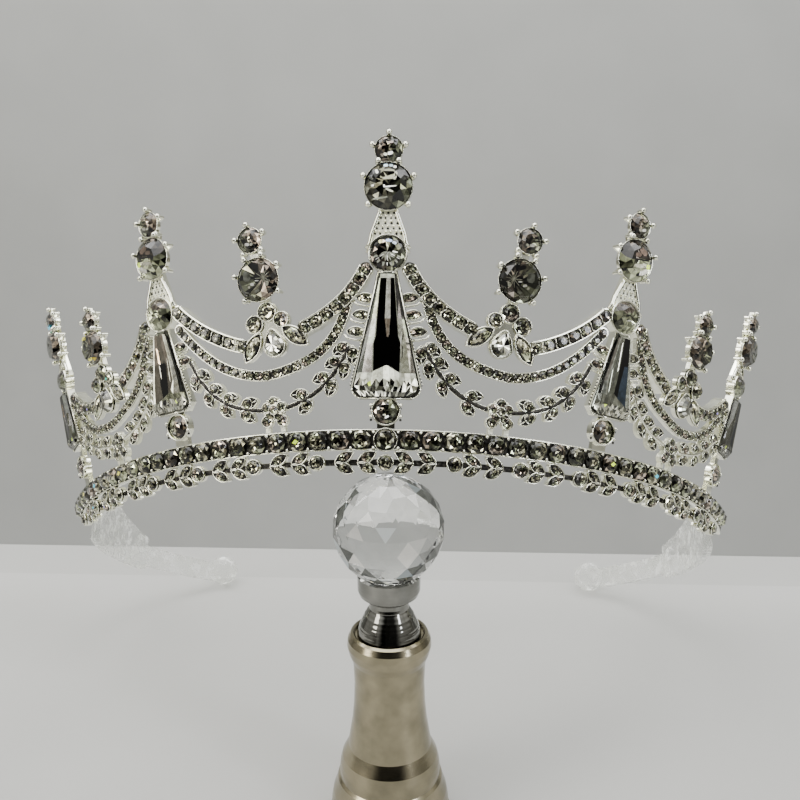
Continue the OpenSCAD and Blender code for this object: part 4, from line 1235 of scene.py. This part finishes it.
leafEdge = lensOutline(*crestTrim["leaf"], inset=crestTrim["inset"])
leafRim = outlineTube(leafEdge, *crestTrim["leafRim"], 6)
for start, i, k in crestNames:
    r = crestRows[i]
    wall = plateMatrix(r.station, k)
    # a rim is its gap from the stone, its wire and its level
    rounds = [(0, r.roundH, r.roundD, rim) for rim in crestTrim["roundRims"]]
    for x, h, d, (gap, wire, level) in [*rounds, (r.lowX, r.lowH, r.lowD, crestTrim["lowRim"])]:
        put(rims, rimRing(d / 2 + gap, wire, level, 36), wall, x, h)
    for m in (-1, 1):
        for up, shadeUp in crestTrim["lowProngs"]:
            # small prongs beside the base stone, and dark dots of painted shade below them
            x = r.lowX + m * (r.lowD / 2 + crestTrim["lowReach"])
            put(rims, lowProng, wall, x, r.lowH + up, 0.7)
            put(dark, lowProngShade, wall, x - m * 0.05, r.lowH + shadeUp, 0.62)
    addSetting([(wall @ spot(0, r.bigH), r.bigD, "big"), (wall @ spot(0, r.topH), r.topD, "top")])
    # a bright rim round the long stone, and just inside it a dark line of painted shade
    for heap, (grow, wire, level) in ((rims, crestTrim["taperRim"]), (dark, crestTrim["taperGapShade"])):
        addLoop(heap, wall, taperOutline(r, grow), wire, level)
    # grains pushed up along both sides of the long stone, each with a dark dot of painted shadow just below
    # it
    for m in (-1, 1):
        a = (m * (r.topW / 2 + crestTrim["milOff"]), r.taperTop - crestTrim["milTop"])
        b = (m * (r.footW / 2 + crestTrim["milOff"]), r.taperFoot + r.footW * crestTrim["milFoot"])
        for x, h in evenly(a, b, crestTrim["milPitch"]):
            grain = ball(crestTrim["milgrain"] * rng.uniform(*crestTrim["milScale"]), 4, 8)
            put(rims, grain, wall, x, h, 0.5)
            put(dark, grainShadow, wall, x, h - 0.3, 0.42)
    addNeck(wall, r)
    for m in (-1, 1):
        for q, (h, off) in enumerate(sideLeafRows[i]):
            w = r.topW / 2 + (r.footW - r.topW) / 2 * (r.taperTop - h) / (r.taperTop - r.taperFoot)
            here = wall @ spot(m * (w + off), h)
            addShape(rims, leafRim, here)
            # a dark pad of painted shade fills each leaf inside its rim
            addShape(dark, flatPad(leafEdge, crestTrim["leafRecess"]), here)
            place = here @ move(-m * crestTrim["stoneIn"], 0, crestTrim["stoneOut"])
            addSmall(tiny, crestTrim["stone"], place, 5 * i + 3 * q + m + 2, crestTrim["stretch"])
            # a bright bar runs under each leaf and curls up round its tip
            stalk = [(m * (w + off * share + more), h + up) for share, more, up in crestTrim["stalk"]]
            addBar(rims, wall, stalk, crestTrim["bar"])
makePiece("crest_rims", rims, silver)
makePiece("crest_necks", necks, castSilver)
makePiece("crest_recess_shade", dark, recess)
makePiece("cut_side_leaf_stones", tiny, crystal)

# a rim is gap, wire and level, or wire and level where it follows an outline
dropTrim = {"rim": (0.14, 0.13, 0.3), "gap": 0.1, "claws": (20, 100, 190, 280), "claw": 0.2,
            "clawLevel": 0.36, "leafRim": (0.17, 0.3), "leafRecess": 0.04, "tipBead": 0.24,
            "pearRim": (0.16, 0.42)}
rims, dark = newHeap(), newHeap()
leafEdge = lensOutline(*marquise["rim"], 13)
pearRim = outlineTube(pearOutline(*pear["rim"], 28), *dropTrim["pearRim"])
for start, i, k in dropNames:
    r = dropRows[i]
    wall = plateMatrix(r.station, k)
    settings = ((r.bigUp, r.bigD, "big"), (r.topUp, r.topD, "top"))
    addSetting([(wall @ dropSpot(r, 0, up), d, kind) for up, d, kind in settings])
    for x, h, d in trefoil:
        gap, wire, level = dropTrim["rim"]
        reach = d / 2 + dropTrim["gap"]
        addShape(rims, rimRing(d / 2 + gap, wire, level, 20), wall @ dropSpot(r, x, h))
        # a dark disc of painted shade lies under each stone of the trefoil
        addShape(dark, disc(reach, 0.03), wall @ dropSpot(r, x, h))
        for a in (math.radians(deg) for deg in dropTrim["claws"]):
            here = dropSpot(r, x + reach * math.cos(a), h + reach * math.sin(a), dropTrim["clawLevel"])
            addShape(rims, ball(dropTrim["claw"], 4, 8), wall @ here)
    for m in (-1, 1):
        place = wall @ marquisePlace(r, m, 0)
        addShape(rims, outlineTube(leafEdge, *dropTrim["leafRim"]), place)
        # a dark pad of painted shade fills each long leaf inside its rim
        addShape(dark, flatPad(leafEdge, dropTrim["leafRecess"]), place)
        for q in (-1, 1):
            # a bead closes each tip of the long leaf
            place = wall @ marquisePlace(r, m, 0.3) @ move(q * marquise["rim"][0] / 2)
            addShape(rims, ball(dropTrim["tipBead"], 5, 8), place)
    addShape(rims, pearRim, wall @ dropSpot(r, 0, pear["h"]))
makePiece("drop_rims", rims, silver)
makePiece("drop_recess_shade", dark, recess)
print("crests and spikes set")

# the stand's ball, cut all over in flat diamonds
standBall = {"radius": 10.4, "middle": (0, 0, 62.0), "sectors": 16, "rows": 11, "low": -80, "high": 84}


def cutBall(look):
    turns = np.radians(np.linspace(look["low"], look["high"], look["rows"] + 1))
    n, r = look["sectors"], look["radius"]
    verts = []
    for j, lat in enumerate(turns):
        for i in range(n):
            a = (i + (j % 2) / 2) * math.tau / n
            out = r * math.cos(lat)
            verts.append((out * math.cos(a), out * math.sin(a), r * math.sin(lat)))
    faces = []
    for j in range(len(turns) - 1):
        for i in range(n):
            k = (i + 1) % n
            a, b, c, e = j * n + i, j * n + k, (j + 1) * n + i, (j + 1) * n + k
            faces += [[a, b, c], [b, e, c]] if j % 2 == 0 else [[a, b, e], [a, e, c]]
    faces.append(list(range(n))[::-1])
    faces.append([(len(turns) - 1) * n + i for i in range(n)])
    return {"verts": np.array(verts), "faces": faces, "smooth": False}


heap = newHeap()
addShape(heap, cutBall(standBall), move(*standBall["middle"]))
makePiece("faceted_ball", heap, ballCrystal, ["stand_ball"])
print("stand ball cut")

# two sheets meet a little behind the stand, and the wall stands well back
stage = {"table": ("#A8A8A5", "#ADADAA"), "wall": ("#A5A6A3", "#AAABA8"), "edgeLight": 1.12,
         "edgeWidth": 0.03, "frontEdge": 100.1, "backEdge": 121.6, "backLevel": -0.6, "wallBack": 700,
         "half": 900, "wallHalf": 1600, "wallTop": 1200}


def paperSheet(name, tones, edge=None):
    # matt painted card, with a faint cloud so that it isn't one flat tone
    m, tree, coords = newMaterial(name)
    tone = mottled(tree, noise(tree, coords, 60.0, 4), *tones)
    if edge:
        # painted light: the sheet's colour grows brighter towards its far edge
        parts = addNode(tree, "SeparateXYZ", links={"Vector": coords})
        settings = {"From Min": edge * milli - stage["edgeWidth"], "From Max": edge * milli, "To Min": 1.0,
                    "To Max": stage["edgeLight"], "interpolation_type": "SMOOTHSTEP"}
        glow = addNode(tree, "MapRange", settings, {"Value": parts.outputs["Y"]}).outputs["Result"]
        lit = addNode(tree, "VectorMath", {"operation": "SCALE"}, {0: tone, "Scale": glow})
        tone = lit.outputs["Vector"]
    return finishMaterial(m, addNode(tree, "BsdfPrincipled", {"Roughness": 0.55}, {"Base Color": tone}))


def sheet(name, corners, material):
    mesh = bpy.data.meshes.new(name)
    mesh.from_pydata([tuple(c * milli for c in p) for p in corners], [], [list(range(len(corners)))])
    mesh.materials.append(material)
    o = bpy.data.objects.new(name, mesh)
    bpy.context.scene.collection.objects.link(o)


def floorSheet(name, near, far, level, material):
    x = stage["half"]
    sheet(name, [(-x, near, level), (x, near, level), (x, far, level), (-x, far, level)], material)


frontCard = paperSheet("tableCard", stage["table"], stage["frontEdge"])
floorSheet("table_front", -700, stage["frontEdge"], 0, frontCard)
backCard = paperSheet("tableBackCard", stage["table"])
floorSheet("table_back", 60, stage["backEdge"], stage["backLevel"], backCard)
x, y, low, high = stage["wallHalf"], stage["wallBack"], -stage["half"], stage["wallTop"]
wallPaint = paperSheet("wallPaint", stage["wall"])
sheet("back_wall", [(-x, y, low), (x, y, low), (x, y, high), (-x, y, high)], wallPaint)

# the photo's view, solved from the band, the crest tips and the table's plane
camera = {"at": (8.807, -159.836, 134.05), "pitch": 0.287, "yaw": -0.041, "roll": 0.002, "lens": 42.307}
camData = bpy.data.cameras.new("photoCamera")
camData.sensor_width = 36
camData.lens = camera["lens"]
camData.clip_start = 0.005
cam = bpy.data.objects.new("photoCamera", camData)
bpy.context.scene.collection.objects.link(cam)
cam.location = [c * milli for c in camera["at"]]
cam.rotation_mode = "XYZ"
cam.rotation_euler = (math.pi / 2 - camera["pitch"], camera["roll"], -camera["yaw"])
bpy.context.scene.camera = cam


def softBox(name, at, aim, size, power, colour="#FFFFFF"):
    data = bpy.data.lights.new(name, "AREA")
    data.shape = "RECTANGLE"
    data.size, data.size_y = size
    data.energy = power
    data.color = linear(colour)[:3]
    o = bpy.data.objects.new(name, data)
    o.location = at
    o.rotation_mode = "QUATERNION"
    o.rotation_quaternion = (Vector(aim) - Vector(at)).to_track_quat("-Z", "Y")
    bpy.context.scene.collection.objects.link(o)


# where each lamp is and where it points, in metres, its size and its power
softBox("overheadBox", (-0.1, -0.1, 0.9), (0, 0.05, 0.05), (0.7, 0.7), 6.0)
softBox("leftBox", (-0.75, -0.45, 0.5), (0, 0.03, 0.08), (0.3, 0.5), 4.5, "#FFFBF2")
softBox("rightBox", (0.7, -0.5, 0.55), (0, 0.03, 0.08), (0.12, 0.5), 3.4, "#F4F8FF")
softBox("wallBox", (0, 0.2, 0.7), (0, 0.7, -0.45), (1.6, 0.2), 6.5)
softBox("wallLowBox", (0, 0.25, -0.5), (0, 0.7, -0.25), (1.8, 0.2), 2.2)

room = {"darkWay": (0.05, -0.955, 0.29), "strength": 2.2, "backdrop": "#B4B5B2", "backdropStrength": 0.9,
        "dark": [(0.0, 1), (0.74, 0.6), (0.9, 0.03)],
        "tones": [(0.3, "#8E8D87"), (0.5, "#7F7E79"), (0.62, "#A5A49E"), (0.78, "#F4F4F0"), (1.0, 1)],
        "cloud": [(0.34, "#4A4944"), (0.44, "#C8C7C2"), (0.56, "#FFFFFF")]}
world = bpy.data.worlds.new("room")
bpy.context.scene.world = world
world.use_nodes = True
tree = world.node_tree
tree.nodes.clear()
direction = addNode(tree, "TexCoord").outputs["Generated"]
# the dark of the room behind the camera, which the stones and the prongs mirror
toCamera = addNode(tree, "VectorMath", {"operation": "DOT_PRODUCT", 1: room["darkWay"]}, {0: direction})
darkPatch = ramp(tree, toCamera.outputs["Value"], room["dark"])
# the ceiling is bright and the room is dim at eye level
rise = addNode(tree, "SeparateXYZ", links={"Vector": direction}).outputs["Z"]
height = addNode(tree, "MapRange", {"From Min": -1.0, "From Max": 1.0}, {"Value": rise}).outputs["Result"]
roomTone = ramp(tree, height, room["tones"])
cloudTone = ramp(tree, cloud(tree, direction, 2.2), room["cloud"])
mixed = multiply(tree, roomTone, cloudTone, darkPatch)
background = addNode(tree, "Background", {"Strength": room["strength"]}, {"Color": mixed})
# seen directly, past the sheets, the room is a plain pale backdrop
plainTone = {"Strength": room["backdropStrength"], "Color": linear(room["backdrop"])}
backdrop = addNode(tree, "Background", plainTone)
seen = addNode(tree, "LightPath").outputs["Is Camera Ray"]
view = addNode(tree, "MixShader", links={0: seen, 1: background.outputs[0], 2: backdrop.outputs[0]})
addNode(tree, "OutputWorld", links={"Surface": view.outputs[0]})
print("stage, camera and lights set")
